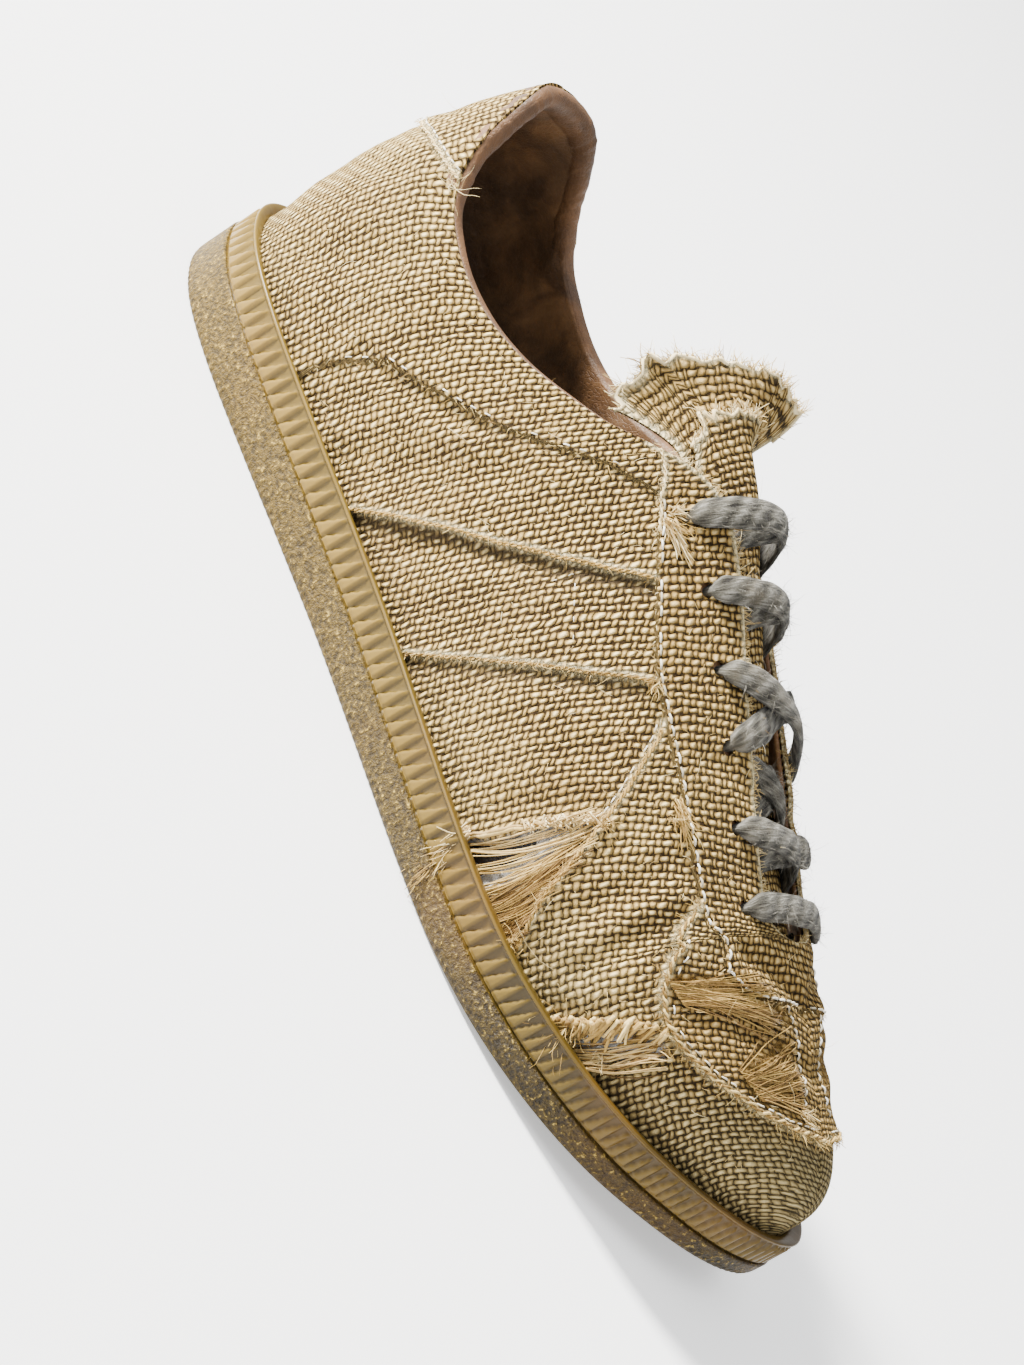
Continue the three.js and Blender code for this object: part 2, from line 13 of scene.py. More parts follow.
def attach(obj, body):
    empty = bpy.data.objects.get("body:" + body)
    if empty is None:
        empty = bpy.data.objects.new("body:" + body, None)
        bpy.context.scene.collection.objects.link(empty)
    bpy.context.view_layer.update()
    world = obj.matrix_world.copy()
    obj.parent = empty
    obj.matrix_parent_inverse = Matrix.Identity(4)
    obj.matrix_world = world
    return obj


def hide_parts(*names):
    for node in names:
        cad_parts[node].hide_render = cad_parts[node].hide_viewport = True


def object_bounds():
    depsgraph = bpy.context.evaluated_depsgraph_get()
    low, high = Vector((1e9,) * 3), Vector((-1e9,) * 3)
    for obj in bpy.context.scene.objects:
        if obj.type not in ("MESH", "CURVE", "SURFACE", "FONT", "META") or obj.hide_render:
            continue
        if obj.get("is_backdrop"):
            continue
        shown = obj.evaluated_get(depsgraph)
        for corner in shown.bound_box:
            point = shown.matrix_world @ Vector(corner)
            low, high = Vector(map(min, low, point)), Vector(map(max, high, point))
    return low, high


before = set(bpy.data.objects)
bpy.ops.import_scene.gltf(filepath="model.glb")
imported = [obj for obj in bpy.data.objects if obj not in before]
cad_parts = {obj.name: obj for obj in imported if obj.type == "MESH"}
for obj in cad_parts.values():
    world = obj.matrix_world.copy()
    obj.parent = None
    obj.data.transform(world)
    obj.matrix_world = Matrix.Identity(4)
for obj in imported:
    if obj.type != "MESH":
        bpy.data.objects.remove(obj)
CAD_BOX = [list(corner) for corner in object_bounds()]
MIDDLE = np.array([149.0, 1.0423, 0.0])     # where the pack's origin lies in the shoemaker's frame
print("pieces of the pack:", sorted(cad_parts))


def to_metres(points):
    """Shoemaker's millimetres to the pack's metres."""
    return (np.asarray(points) - MIDDLE) / 1000


# %% [markdown]
# ## Camera, floor and light
# The shoe is seen from above its outer side, a little from the toe, with a long lens and the camera rolled so
# far that the toe points down. A near-white floor goes on past the view and glows faintly, so that it stays
# pale. A pale world, a small strong lamp on the heel side and a broad weak one overhead give the light. The
# camera is aimed by a tracking turn and then rolled about its own axis.

# %% Camera
LOOK_FROM = Vector((0.3865, -0.9596, 0.3850))
LOOK_AT = Vector((-0.0041, 0.0, 0.0254))
ROLL = 58.6
LENS = 157.0
camera = bpy.data.objects.new("camera", bpy.data.cameras.new("camera"))
camera.data.lens = LENS
camera.data.sensor_fit = "HORIZONTAL"
camera.data.sensor_width = 36
camera.location = LOOK_FROM
aim = (LOOK_AT - LOOK_FROM).to_track_quat("-Z", "Y").to_matrix()
camera.rotation_euler = (aim @ Matrix.Rotation(np.radians(ROLL), 3, "Z")).to_euler()
bpy.context.scene.collection.objects.link(camera)
bpy.context.scene.camera = camera
print("camera distance", round((LOOK_AT - LOOK_FROM).length, 3), "m")


# %% Sums that become shader nodes
class Wire:
    """A node's output that can be used in ordinary sums: each sum adds one Math node."""

    def __init__(self, paint, socket):
        self.paint, self.socket = paint, socket

    def sum(self, operation, *values):
        return self.paint.node("Math", dict(enumerate(values)), operation=operation)

    def __add__(self, other): return self.sum("ADD", self, other)
    def __radd__(self, other): return self.sum("ADD", other, self)
    def __sub__(self, other): return self.sum("SUBTRACT", self, other)
    def __rsub__(self, other): return self.sum("SUBTRACT", other, self)
    def __mul__(self, other): return self.sum("MULTIPLY", self, other)
    def __rmul__(self, other): return self.sum("MULTIPLY", other, self)
    def __truediv__(self, other): return self.sum("DIVIDE", self, other)
    def __rtruediv__(self, other): return self.sum("DIVIDE", other, self)
    def __pow__(self, other): return self.sum("POWER", self, other)
    def floor(self): return self.sum("FLOOR", self)
    def sine(self): return self.sum("SINE", self)
    def cosine(self): return self.sum("COSINE", self)
    def root(self): return self.sum("SQRT", self.above(0))
    def above(self, other): return self.sum("MAXIMUM", self, other)
    def below(self, other): return self.sum("MINIMUM", self, other)

    def step(self, low, high):
        """0 below low, 1 above high, and smooth between them."""
        return self.paint.node("MapRange", {0: self, 1: low, 2: high, 3: 0.0, 4: 1.0},
                               interpolation_type="SMOOTHSTEP", clamp=True)


def tint(code):
    """A colour written as six hex digits, as linear red, green, blue, alpha."""
    value = np.array([int(code[i:i + 2], 16) for i in (0, 2, 4)]) / 255
    linear = np.where(value <= 0.04045, value / 12.92, ((value + 0.055) / 1.055) ** 2.4)
    return (*linear, 1.0)


class Paint:
    """One material, and the only way that this script adds nodes to it."""

    def __init__(self, name):
        self.material = bpy.data.materials.new(name)
        self.material.use_nodes = True
        self.tree = self.material.node_tree
        self.tree.nodes.clear()

    def node(self, kind, inputs=None, output=0, stops=None, **settings):
        """Adds a ShaderNode: its settings come first, then a ramp's stops, then the values or wires of its sockets."""
        made = self.tree.nodes.new("ShaderNode" + kind)
        for key, value in settings.items():
            setattr(made, key, value)
        if stops:
            ramp = made.color_ramp.elements
            while len(ramp) < len(stops):
                ramp.new(0.5)
            for element, (place, colour) in zip(ramp, stops):
                element.position, element.color = place, colour
        for key, value in (inputs or {}).items():
            if isinstance(value, Wire):
                self.tree.links.new(value.socket, made.inputs[key])
            else:
                made.inputs[key].default_value = value
        return Wire(self, made.outputs[output]) if made.outputs else None

    def mix(self, share, first, second):
        """The first colour where share is 0 and the second where it is 1."""
        return self.node("Mix", {0: share, 6: first, 7: second}, output=2, data_type="RGBA")

    def value(self, name):
        """A number that the piece's mesh carries at each point."""
        return self.node("Attribute", output=2, attribute_name=name)

    def noise(self, place, scale, detail=2.0, rough=0.5, warp=0.0):
        return self.node("TexNoise", {"Vector": place, "Scale": scale, "Detail": detail,
                                      "Roughness": rough, "Distortion": warp})

    def finish(self, bump=None, strength=1.0, distance=0.001, **sockets):
        """Closes the material with one Principled surface. Socket names come with _ for a space."""
        inputs = {key.replace("_", " "): value for key, value in sockets.items()}
        if bump is not None:
            inputs["Normal"] = self.node("Bump", {"Height": bump, "Strength": strength, "Distance": distance})
        surface = self.node("BsdfPrincipled", inputs)
        self.node("OutputMaterial", {"Surface": surface})
        return self.material


# %% Floor and light
def make_object(name, mesh):
    made = bpy.data.objects.new(name, mesh)
    bpy.context.scene.collection.objects.link(made)
    return made


floor_mesh = bpy.data.meshes.new("floor")
floor_mesh.from_pydata([(-9, -9, 0), (9, -9, 0), (9, 9, 0), (-9, 9, 0)], [], [(0, 1, 2, 3)])
studio_floor = make_object("studio_floor", floor_mesh)
paint = Paint("pale_floor")
floor_mesh.materials.append(paint.finish(Base_Color=tint("F4F4F4"), Roughness=0.9, Specular_IOR_Level=0.1,
                                      Emission_Color=tint("FFFFFF"), Emission_Strength=0.62))
studio_floor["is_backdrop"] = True

world = bpy.data.worlds.new("studio")
bpy.context.scene.world = world
world.use_nodes = True
world.node_tree.nodes["Background"].inputs[0].default_value = (0.96, 0.98, 1.0, 1)
world.node_tree.nodes["Background"].inputs[1].default_value = 0.85


def add_lamp(name, place, size, power, colour=(1, 1, 1)):
    """A square area lamp at a place, facing the shoe."""
    lamp = bpy.data.lights.new(name, "AREA")
    lamp.energy, lamp.size, lamp.color = power, size, colour
    made = make_object(name, lamp)
    made.location = place
    made.rotation_euler = (Vector((0, 0, 0.04)) - Vector(place)).to_track_quat("-Z", "Y").to_euler()
    return made


add_lamp("window", (-2.0, -1.0, 1.2), 0.45, 480, (1.0, 0.985, 0.95))
add_lamp("overhead", (0.4, -0.6, 2.6), 2.4, 45)

# %% [markdown]
# ## The last
# A shoe is built over a last, so this shoe's surfaces are all read from one last: an outline of the sole, a
# ridge line, and for each station a rounded section between them. It is the same last as the pack's. The
# tables are typed in stations from heel (0) to toe (1), and a smooth curve runs through each. Every formula
# takes whole arrays.

# %% Tables of the last
LENGTH, UPPER_INSET, INSET_SPAN = 298.0, 4.5, 48.0
SPRING_START, TOE_SPRING, BAND_HEIGHT = 0.68, 10.0, 9.5
INSOLE_THICK, GROOVE_DEPTH, ARCH_DEPTH, FIT_GAP = 3.6, 2.2, 2.6, 0.3
WALL, COLLAR_WALL, EYELET_RADIUS = 2.2, 4.6, 2.0
THROAT_FRONT, THROAT_ROUND = 0.797, 0.77
EYELET_SHARE = np.linspace(0.775, 0.468, 6)
EYELET_OUT = np.array([21.7, 21.7, 21.8, 22.2, 23.2, 25.5])
TONGUE_TOP, TONGUE_FOOT, TONGUE_DROP, TONGUE_FOOT_DROP = 0.352, 0.835, 6.2, 3.1
OUTER, INNER = -1, 1                         # the two sides of the shoe
# station, outer side, inner side, ridge
OUTLINE = np.array([
    [0.00, 0, 0, 0], [0.03, -22, 22, 0], [0.08, -33, 33, 0], [0.15, -38.5, 38.5, 0],
    [0.24, -40.5, 39, 0.5], [0.34, -41.5, 37.5, 2.5], [0.44, -43.5, 37.5, 5.5], [0.54, -47.5, 41, 8],
    [0.63, -51, 47, 9.5], [0.71, -52.5, 52, 11], [0.78, -50.5, 54.5, 13], [0.85, -43.5, 53.5, 15],
    [0.91, -32, 49.5, 17], [0.96, -14, 41.5, 18.5], [1.00, 19, 19, 19]])
# station, height of the sidewall's top edge, then of the footbed, above the underside
RIM = np.array([[0, 22.8], [0.15, 22], [0.3, 20.8], [0.5, 19.2], [0.7, 17.8], [0.85, 17.1], [1, 16.4]])
FLOOR = np.array([[0, 13], [0.3, 12.5], [0.6, 11], [1, 10]])
RIDGE = np.array([
    [0.00, 128], [0.10, 128], [0.25, 127], [0.34, 122], [0.42, 110.5], [0.50, 99], [0.58, 87.5], [0.66, 76.5],
    [0.74, 66.5], [0.80, 59.5], [0.86, 53], [0.91, 47.5], [0.95, 43], [0.98, 38.5], [1, 29]])
# station, power of the half-width, power of the height, side swell
SHAPE = np.array([
    [0.00, 0.62, 0.62, 0.0], [0.15, 0.75, 0.75, 1.5], [0.30, 0.92, 0.90, 1.5], [0.45, 1.00, 0.94, 2.0],
    [0.60, 0.98, 0.92, 3.5], [0.75, 0.92, 0.87, 4.2], [0.90, 0.82, 0.78, 3.0], [1.00, 0.70, 0.70, 0.0]])
COLLAR = np.array([
    [0.00, 102], [0.03, 99.5], [0.06, 92], [0.09, 83], [0.125, 75.5], [0.17, 71.5],
    [0.23, 70.5], [0.29, 74], [0.35, 81.5], [0.40, 89], [0.45, 97]])
THROAT = np.array([[0.36, 30], [0.40, 27.5], [0.425, 24], [0.45, 19.5], [0.475, 16.5], [0.51, 14.8],
                   [0.6, 14.2], [0.7, 14], [0.8, 14]])


# %% Curves through the tables
def ease(value):
    """0 up to 0, 1 from 1, and the smooth step 3t^2 - 2t^3 between."""
    t = np.clip(value, 0, 1)
    return t * t * (3 - 2 * t)


def round_ends(share):
    """Stations counted by the angle round a half circle, so that an outline can close in a round end."""
    return np.arccos(np.clip(1 - 2 * share, -1, 1)) / np.pi


def through(table, share, rounded=False):
    """Cubic Hermite curves through a table's rows: each slope is the mean of its neighbours' slopes, weighted by the
    other's step. Gives one array for each column."""
    warp = round_ends if rounded else (lambda v: v)
    at, values = warp(table[:, 0]), table[:, 1:]
    step = np.diff(at)
    rise = np.diff(values, axis=0) / step[:, None]
    slope = np.empty_like(values)
    slope[1:-1] = (rise[:-1] * step[1:, None] + rise[1:] * step[:-1, None]) / (step[:-1] + step[1:])[:, None]
    slope[0] = 1.5 * rise[0] - 0.5 * slope[1]
    slope[-1] = 1.5 * rise[-1] - 0.5 * slope[-2]
    x = np.clip(warp(np.asarray(share, float)), at[0], at[-1])
    k = np.clip(np.searchsorted(at, x) - 1, 0, len(at) - 2)
    t = ((x - at[k]) / step[k])[..., None]
    h = step[k][..., None]
    curve = ((2 * t**3 - 3 * t**2 + 1) * values[k] + (t**3 - 2 * t**2 + t) * h * slope[k]
             + (3 * t**2 - 2 * t**3) * values[k + 1] + (t**3 - t**2) * h * slope[k + 1])
    return np.moveaxis(curve, -1, 0)


def spring(share):
    """The underside's rise towards the toe: TOE_SPRING times the square of the way past SPRING_START."""
    return TOE_SPRING * np.maximum(0, (share - SPRING_START) / (1 - SPRING_START)) ** 2


def rim_height(share): return through(RIM, share)[0] + 0.9 * spring(share)
def footbed_height(share): return through(FLOOR, share)[0] + spring(share)


def outline(share, inset):
    """Plan of the sole, drawn in by an inset: x, outer y, inner y, ridge y. Half-widths shrink in proportion."""
    low, high, ridge = through(OUTLINE, share, True)
    k = 1 - inset / INSET_SPAN
    return inset + (LENGTH - 2 * inset) * share, ridge + (low - ridge) * k, ridge + (high - ridge) * k, ridge


def last_point(share, out, side):
    """A point of the last at a station and a share of its half-width, 0 on the ridge and 1 at the feather line.
    Width is the half-width times out to a power, height is the ridge's height times the root of 1 - out^2 to a power.
    The side swells above the rim, and the heel's back leans by a parabola of the height."""
    share, out, side = np.broadcast_arrays(np.asarray(share, float), out, side)
    x, low, high, ridge = outline(share, UPPER_INSET)
    base = footbed_height(x / LENGTH)
    rise = np.maximum(1, through(RIDGE, share, True)[0] - base)
    half = np.where(side < 0, ridge - low, high - ridge)
    wide, tall, swell = through(SHAPE, share)
    sine = np.clip(out, 0, 1)
    up = np.sqrt(1 - sine * sine) ** tall
    free = (rim_height(x / LENGTH) + 1 - base) / rise
    z = base + rise * up
    y = ridge + side * (half * sine ** wide + swell * ease((up - free) / 0.28) * (1 - up))
    r = np.clip((z - 26) / 74, 0, 1.3)
    back = np.maximum(0, 1 - share / 0.25) ** 1.5
    return np.stack([x + back * (11 * r * r - 8 * r * (1 - r)), y, z], -1)


def bisect(too_low, shape):
    """The place between 0 and 1 where a test turns from true to false, for a whole array at once."""
    low, high = np.zeros(shape), np.ones(shape)
    for _ in range(26):
        middle = (low + high) / 2
        test = too_low(middle)
        low, high = np.where(test, middle, low), np.where(test, high, middle)
    return (low + high) / 2


def out_at_distance(share, distance, side):
    """Share of the half-width where the last is that far in plan from its ridge line."""
    share, distance, side = np.broadcast_arrays(np.asarray(share, float), distance, side)
    ridge = through(OUTLINE, share, True)[2]
    return bisect(lambda m: np.abs(last_point(share, m, side)[..., 1] - ridge) < distance, share.shape)


def out_at_height(share, height, side):
    """Share of the half-width where the last has that height."""
    share, height, side = np.broadcast_arrays(np.asarray(share, float), height, side)
    return bisect(lambda m: last_point(share, m, side)[..., 2] > height, share.shape)


def top_out(share, side):
    """Top edge of the upper: the collar line at the back, the throat line ahead of it, the ridge at the toe."""
    share = np.asarray(share, float)
    t = np.clip((share - THROAT_ROUND) / (THROAT_FRONT - THROAT_ROUND), 0, 1)
    half = through(THROAT, share)[0] * np.sqrt(1 - t * t)
    mix = ease((share - 0.37) / 0.06)
    throat = out_at_distance(share, half, side)
    collar = out_at_height(share, through(COLLAR, share)[0], side)
    return np.where(share >= THROAT_FRONT, 0, collar * (1 - mix) + throat * mix)


def unit(vectors):
    """Vectors of length one."""
    return vectors / np.maximum(np.linalg.norm(vectors, axis=-1, keepdims=True), 1e-9)


def over_last(share, distance, lift):
    """A point lifted off the last along its normal, at a signed distance in plan from the ridge, and that normal.
    The normal is the cross product of the steps along the shoe and down its side."""
    share, distance, lift = np.broadcast_arrays(np.asarray(share, float), distance, lift)
    side = np.where(distance < 0, OUTER, INNER)
    out = out_at_distance(share, np.abs(distance), side)
    along = last_point(share + 0.002, out, side) - last_point(share - 0.002, out, side)
    near = np.clip(out, 0.01, 0.99)
    down = last_point(share, near + 0.008, side) - last_point(share, near - 0.008, side)
    normal = unit(np.cross(along, down) * side[..., None])
    return last_point(share, out, side) + normal * lift[..., None], normal


print("ridge height over the throat:", np.round(last_point(np.array([0.5, 0.8]), 0, OUTER)[:, 2], 1))

# %% [markdown]
# ## Meshes from arrays
# Every piece is a grid of points worked out as one array, so one function turns an array of points and an
# array of quads into a piece, with its material and any numbers that its material
# reads at each point. A cloth panel gets a second layer of points just inside the first, and walls round its
# borders and holes, which closes it. Fibres, stitches and cords are thin four-sided tubes, thousands at a
# time in one array.

# %% Grids, closed panels and pieces
def grid_quads(rows, columns, ring=False, flip=False, base=0):
    """Quads between the neighbours of a rows x columns grid. With ring, the last column meets the first."""
    across = np.arange(columns if ring else columns - 1)
    a = base + np.arange(rows - 1)[:, None] * columns + across[None]
    b = base + np.arange(rows - 1)[:, None] * columns + (across[None] + 1) % columns
    quads = np.stack([a, b, b + columns, a + columns], -1).reshape(-1, 4)
    return quads[:, ::-1] if flip else quads


def borders(quads):
    """Directed edges that only one quad uses."""
    edges = np.stack([quads, np.roll(quads, -1, axis=1)], -1).reshape(-1, 2)
    edges = edges[edges[:, 0] != edges[:, 1]]
    key = edges.min(1) * (quads.max() + 1) + edges.max(1)
    _, index, count = np.unique(key, return_index=True, return_counts=True)
    return edges[index[count == 1]]


def closed_panel(points, backs, quads):
    """A sheet with its second layer at `backs` and a wall on each border edge."""
    n = len(points)
    rim = borders(quads)
    walls = np.stack([rim[:, 1], rim[:, 0], rim[:, 0] + n, rim[:, 1] + n], -1)
    return np.concatenate([points, backs]), np.concatenate([quads, quads[:, ::-1] + n, walls]), rim


def add_piece(name, points, quads, material, slot, node=None, values=None, sharp=None, weld=False):
    """A visible piece: mesh, smooth shading, material, a record slot that is not used, the CAD node it stands for,
    numbers per point.
    With weld, points in one place become one point, which closes the poles of a cap."""
    used, index = np.unique(quads, return_inverse=True)
    quads = index.reshape(quads.shape)
    mesh = bpy.data.meshes.new(name)
    mesh.vertices.add(len(used))
    mesh.vertices.foreach_set("co", to_metres(points[used]).astype(np.float32).ravel())
    mesh.loops.add(quads.size)
    mesh.loops.foreach_set("vertex_index", quads.astype(np.int32).ravel())
    mesh.polygons.add(len(quads))
    mesh.polygons.foreach_set("loop_start", np.arange(0, quads.size, 4, dtype=np.int32))
    mesh.update(calc_edges=True)
    for key, array in (values or {}).items():
        array = np.asarray(array, np.float32)[used]
        kind = "FLOAT" if array.ndim == 1 else "FLOAT_VECTOR"
        mesh.attributes.new(key, kind, "POINT").data.foreach_set("value" if array.ndim == 1 else "vector",
                                                                 array.ravel())
    mesh.polygons.foreach_set("use_smooth", np.ones(len(quads), bool))
    if sharp is not None:
        ends = np.empty(len(mesh.edges) * 2, np.int32)
        mesh.edges.foreach_get("vertices", ends)
        ends = used[ends.reshape(-1, 2)]
        size = len(points) + 1
        keys = ends.min(1) * size + ends.max(1)
        marked = np.isin(keys, sharp.min(1) * size + sharp.max(1))
        mesh.attributes.new("sharp_edge", "BOOLEAN", "EDGE").data.foreach_set("value", marked)
    if weld:
        shape = bmesh.new()
        shape.from_mesh(mesh)
        bmesh.ops.remove_doubles(shape, verts=shape.verts, dist=1e-6)
        shape.to_mesh(mesh)
        shape.free()
    mesh.validate()
    mesh.materials.append(material)
    piece = make_object(name, mesh)
    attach(piece, "root")
    if node:
        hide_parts(*([node] if isinstance(node, str) else node))
    print(f"{name}: {len(quads) * 2} triangles")
    return piece


def carried(paths, radius, width=None, normals=None, sides=4):
    """Tubes along many paths at once: paths (n, m, 3), radius (n, m). Each ring turns about the path's own direction,
    flattened where a width is given across the normals, and a quad closes each end."""
    paths = np.asarray(paths, float)
    n, m, _ = paths.shape
    radius = np.broadcast_to(radius, (n, m))
    width = radius if width is None else np.broadcast_to(width, (n, m))
    along = unit(np.gradient(paths, axis=1))
    if normals is None:
        normals = np.cross(along, np.array([0.31, 0.23, 0.92]))
    across = unit(np.cross(normals, along))
    up = np.cross(along, across)
    turn = 2 * np.pi * (np.arange(sides) + 0.5) / sides
    ring = (paths[:, :, None] + width[..., None, None] * np.cos(turn)[:, None] * across[:, :, None]
            + radius[..., None, None] * np.sin(turn)[:, None] * up[:, :, None])
    points = ring.reshape(-1, 3)
    one = grid_quads(m, sides, ring=True)
    half = sides // 2 - 1
    first, last = np.arange(sides), (m - 1) * sides + np.arange(sides)
    caps = [[loop[i], loop[i + 1], loop[sides - 2 - i], loop[sides - 1 - i]]
            for loop in (first[::-1], last) for i in range(half)]
    one = np.concatenate([one, np.array(caps)])
    quads = (one[None] + (np.arange(n) * m * sides)[:, None, None]).reshape(-1, 4)
    return points, quads


def joined(parts):
    """Several (points, quads) as one."""
    points, quads, base = [], [], 0
    for p, q in parts:
        points.append(p)
        quads.append(q + base)
        base += len(p)
    return np.concatenate(points), np.concatenate(quads)


def lattice_noise(points, size, seed):
    """Smooth random heights from -1 to 1: random numbers on a lattice of that size, blended by the ease curve."""
    table = np.random.default_rng(seed).uniform(-1, 1, (32, 32, 32))
    place = np.asarray(points) / size + 100
    cell = np.floor(place).astype(int)
    part = ease(place - cell)
    total = 0
    for corner in np.ndindex(2, 2, 2):
        weight = np.prod(np.where(corner, part, 1 - part), axis=-1)
        at = (cell + corner) % 32
        total = total + weight * table[at[..., 0], at[..., 1], at[..., 2]]
    return total


# %% [markdown]
# ## Seams, laps and tears of the upper
# The upper is sewn from raw-edged pieces of hessian: a tab over the heel, a collar piece, two stripes whose
# edges lie like cords, an eyestay with a white running stitch, and a wide overlay over the toe. Each seam is
# typed as a row of (station, share of the way up the side), so one table serves both sides of the
# shoe. From a point's distance to a seam come the lap's step, the dirt and painted shade beside it, the run
# of the cloth and the places of its stitches and fibres.

# %% Seam tables
SEAMS = {
    "heel_tab": [(0.0, 0.60), (0.03, 0.66), (0.063, 0.78), (0.09, 0.90), (0.112, 1.0)],
    "collar": [(0.196, 0.0), (0.201, 0.27), (0.231, 0.53), (0.287, 0.665), (0.333, 0.738), (0.375, 0.82),
               (0.405, 0.852), (0.446, 0.86)],
    "stripe_back": [(0.327, 0.0), (0.334, 0.123), (0.361, 0.252), (0.391, 0.359), (0.429, 0.448),
                    (0.464, 0.549),
                    (0.488, 0.640), (0.511, 0.757)],
    "stripe_front": [(0.456, 0.0), (0.464, 0.033), (0.495, 0.175), (0.526, 0.320), (0.568, 0.541),
                     (0.592, 0.703)],
    "eyestay": [(0.410, 1.0), (0.430, 0.93), (0.448, 0.855), (0.480, 0.79), (0.511, 0.757), (0.55, 0.725),
                (0.586, 0.706), (0.615, 0.708), (0.680, 0.714), (0.734, 0.705), (0.776, 0.690),
                (0.805, 0.625),
                (0.822, 0.60), (0.840, 0.665), (0.847, 0.76), (0.849, 0.835), (0.850, 1.0)],
    "diagonal": [(0.622, 0.70), (0.635, 0.672), (0.669, 0.542), (0.702, 0.382), (0.727, 0.223),
                 (0.751, 0.072),
                 (0.757, 0.0)],
    "toe_wing": [(0.768, 0.700), (0.774, 0.665), (0.787, 0.56), (0.804, 0.440), (0.826, 0.378),
                 (0.848, 0.345),
                 (0.867, 0.348), (0.898, 0.405), (0.928, 0.540), (0.944, 0.726), (0.952, 1.0)],
    "toe_stitch": [(0.849, 0.86), (0.862, 0.885), (0.878, 0.903), (0.904, 0.915), (0.922, 0.88),
                   (0.933, 0.83)],
    "stripe_stitch": [(0.478, 0.50), (0.481, 0.565), (0.512, 0.53), (0.545, 0.499)],
}
TEARS = {
    "side_tear": [(0.641, 0.0), (0.660, 0.155), (0.676, 0.34), (0.688, 0.465), (0.707, 0.335), (0.729, 0.19),
                  (0.748, 0.0)],
    "toe_tear": [(0.812, 0.02), (0.824, 0.11), (0.842, 0.23), (0.860, 0.335), (0.873, 0.30), (0.866, 0.19),
                 (0.853, 0.09), (0.838, 0.02)],
}
BARE = {
    "front_bare": [(0.818, 0.40), (0.822, 0.53), (0.838, 0.68), (0.851, 0.86), (0.866, 0.88), (0.862, 0.74),
                   (0.845, 0.56), (0.838, 0.42)],
    "tip_bare": [(0.893, 0.52), (0.880, 0.70), (0.876, 0.86), (0.905, 0.88), (0.930, 0.72), (0.922, 0.56)],
}
CHART = 289.0                                # millimetres of a station, along the shoe


# %% The skin of one side as a grid
ROWS = 126


def section_grid(shares, side, rows, dense=220):
    """Rows at even steps of the way up each section, from the feather line to the top edge, and that way's length."""
    top = np.arcsin(top_out(shares, side))
    angle = np.pi / 2 + (top[:, None] - np.pi / 2) * np.linspace(0, 1, dense)
    line = last_point(shares[:, None], np.sin(angle), side)
    way = np.cumsum(np.linalg.norm(np.diff(line, axis=1), axis=2), axis=1)
    way = np.concatenate([np.zeros((len(shares), 1)), way], axis=1)
    order = 2.0 * np.arange(len(shares))[:, None]
    wanted = order + np.linspace(0, 1, rows)
    even = np.interp(wanted.ravel(), (order + way / way[:, -1:]).ravel(), angle.ravel()).reshape(-1, rows)
    return last_point(shares[:, None], np.sin(even), side), way[:, -1]


def even_shares(side, count):
    """Stations whose steps are even in a mean of the feather line's length and the shoe's."""
    dense = (1 - np.cos(np.linspace(0, np.pi, 4000))) / 2
    feather = last_point(dense, 1, side)
    way = np.concatenate([[0], np.cumsum(np.linalg.norm(np.diff(feather, axis=0), axis=1))])
    mean = 0.62 * way / way[-1] + 0.38 * dense
    return np.interp(np.linspace(mean[0], mean[-1], count), mean, dense)


def grid_normals(points, side):
    """Outward normals of a side's grid, from the cross product of its two directions."""
    return unit(np.cross(np.gradient(points, axis=0), np.gradient(points, axis=1))) * -side


class Skin:
    """One side of the upper before relief: stations, rows, places, normals, and the chart that seams are measured in."""

    def __init__(self, side, columns):
        self.side = side
        self.share = even_shares(side, columns)
        self.place, self.height = section_grid(self.share, side, ROWS)
        self.normal = grid_normals(self.place, side)
        self.way = np.linspace(0, 1, ROWS)
        self.a = np.broadcast_to(CHART * self.share[:, None], self.place.shape[:2])
        self.u = self.height[:, None] * self.way

    def chart(self, table):
        """A table's (station, share of the way up) as millimetres in the chart, with extra points on a smooth run."""
        table = np.array(table)
        steps = np.linspace(0, len(table) - 1, (len(table) - 1) * 3 + 1)
        share = np.interp(steps, np.arange(len(table)), table[:, 0])
        way = np.interp(steps, np.arange(len(table)), table[:, 1])
        return np.stack([CHART * share, way * np.interp(share, self.share, self.height)], -1)

    def at(self, share, way, lift=0.0):
        """Points on the finished skin at any station and share of the way up, by blending the grid's corners."""
        i = np.interp(share, self.share, np.arange(len(self.share)))
        j = np.clip(way, 0, 1) * (ROWS - 1)
        i0, j0 = np.minimum(i.astype(int), len(self.share) - 2), np.minimum(j.astype(int), ROWS - 2)
        p, q = (i - i0)[..., None], (j - j0)[..., None]

        def blend(grid):
            return ((1 - p) * (1 - q) * grid[i0, j0] + p * (1 - q) * grid[i0 + 1, j0]
                    + (1 - p) * q * grid[i0, j0 + 1] + p * q * grid[i0 + 1, j0 + 1])

        normal = unit(blend(self.normal))
        return blend(self.final) + normal * np.asarray(lift)[..., None], normal


skins = {OUTER: Skin(OUTER, 366), INNER: Skin(INNER, 280)}
print("skin heights at stations 0.2, 0.5, 0.8:",
      [np.round(np.interp([0.2, 0.5, 0.8], s.share, s.height), 1).tolist() for s in skins.values()])


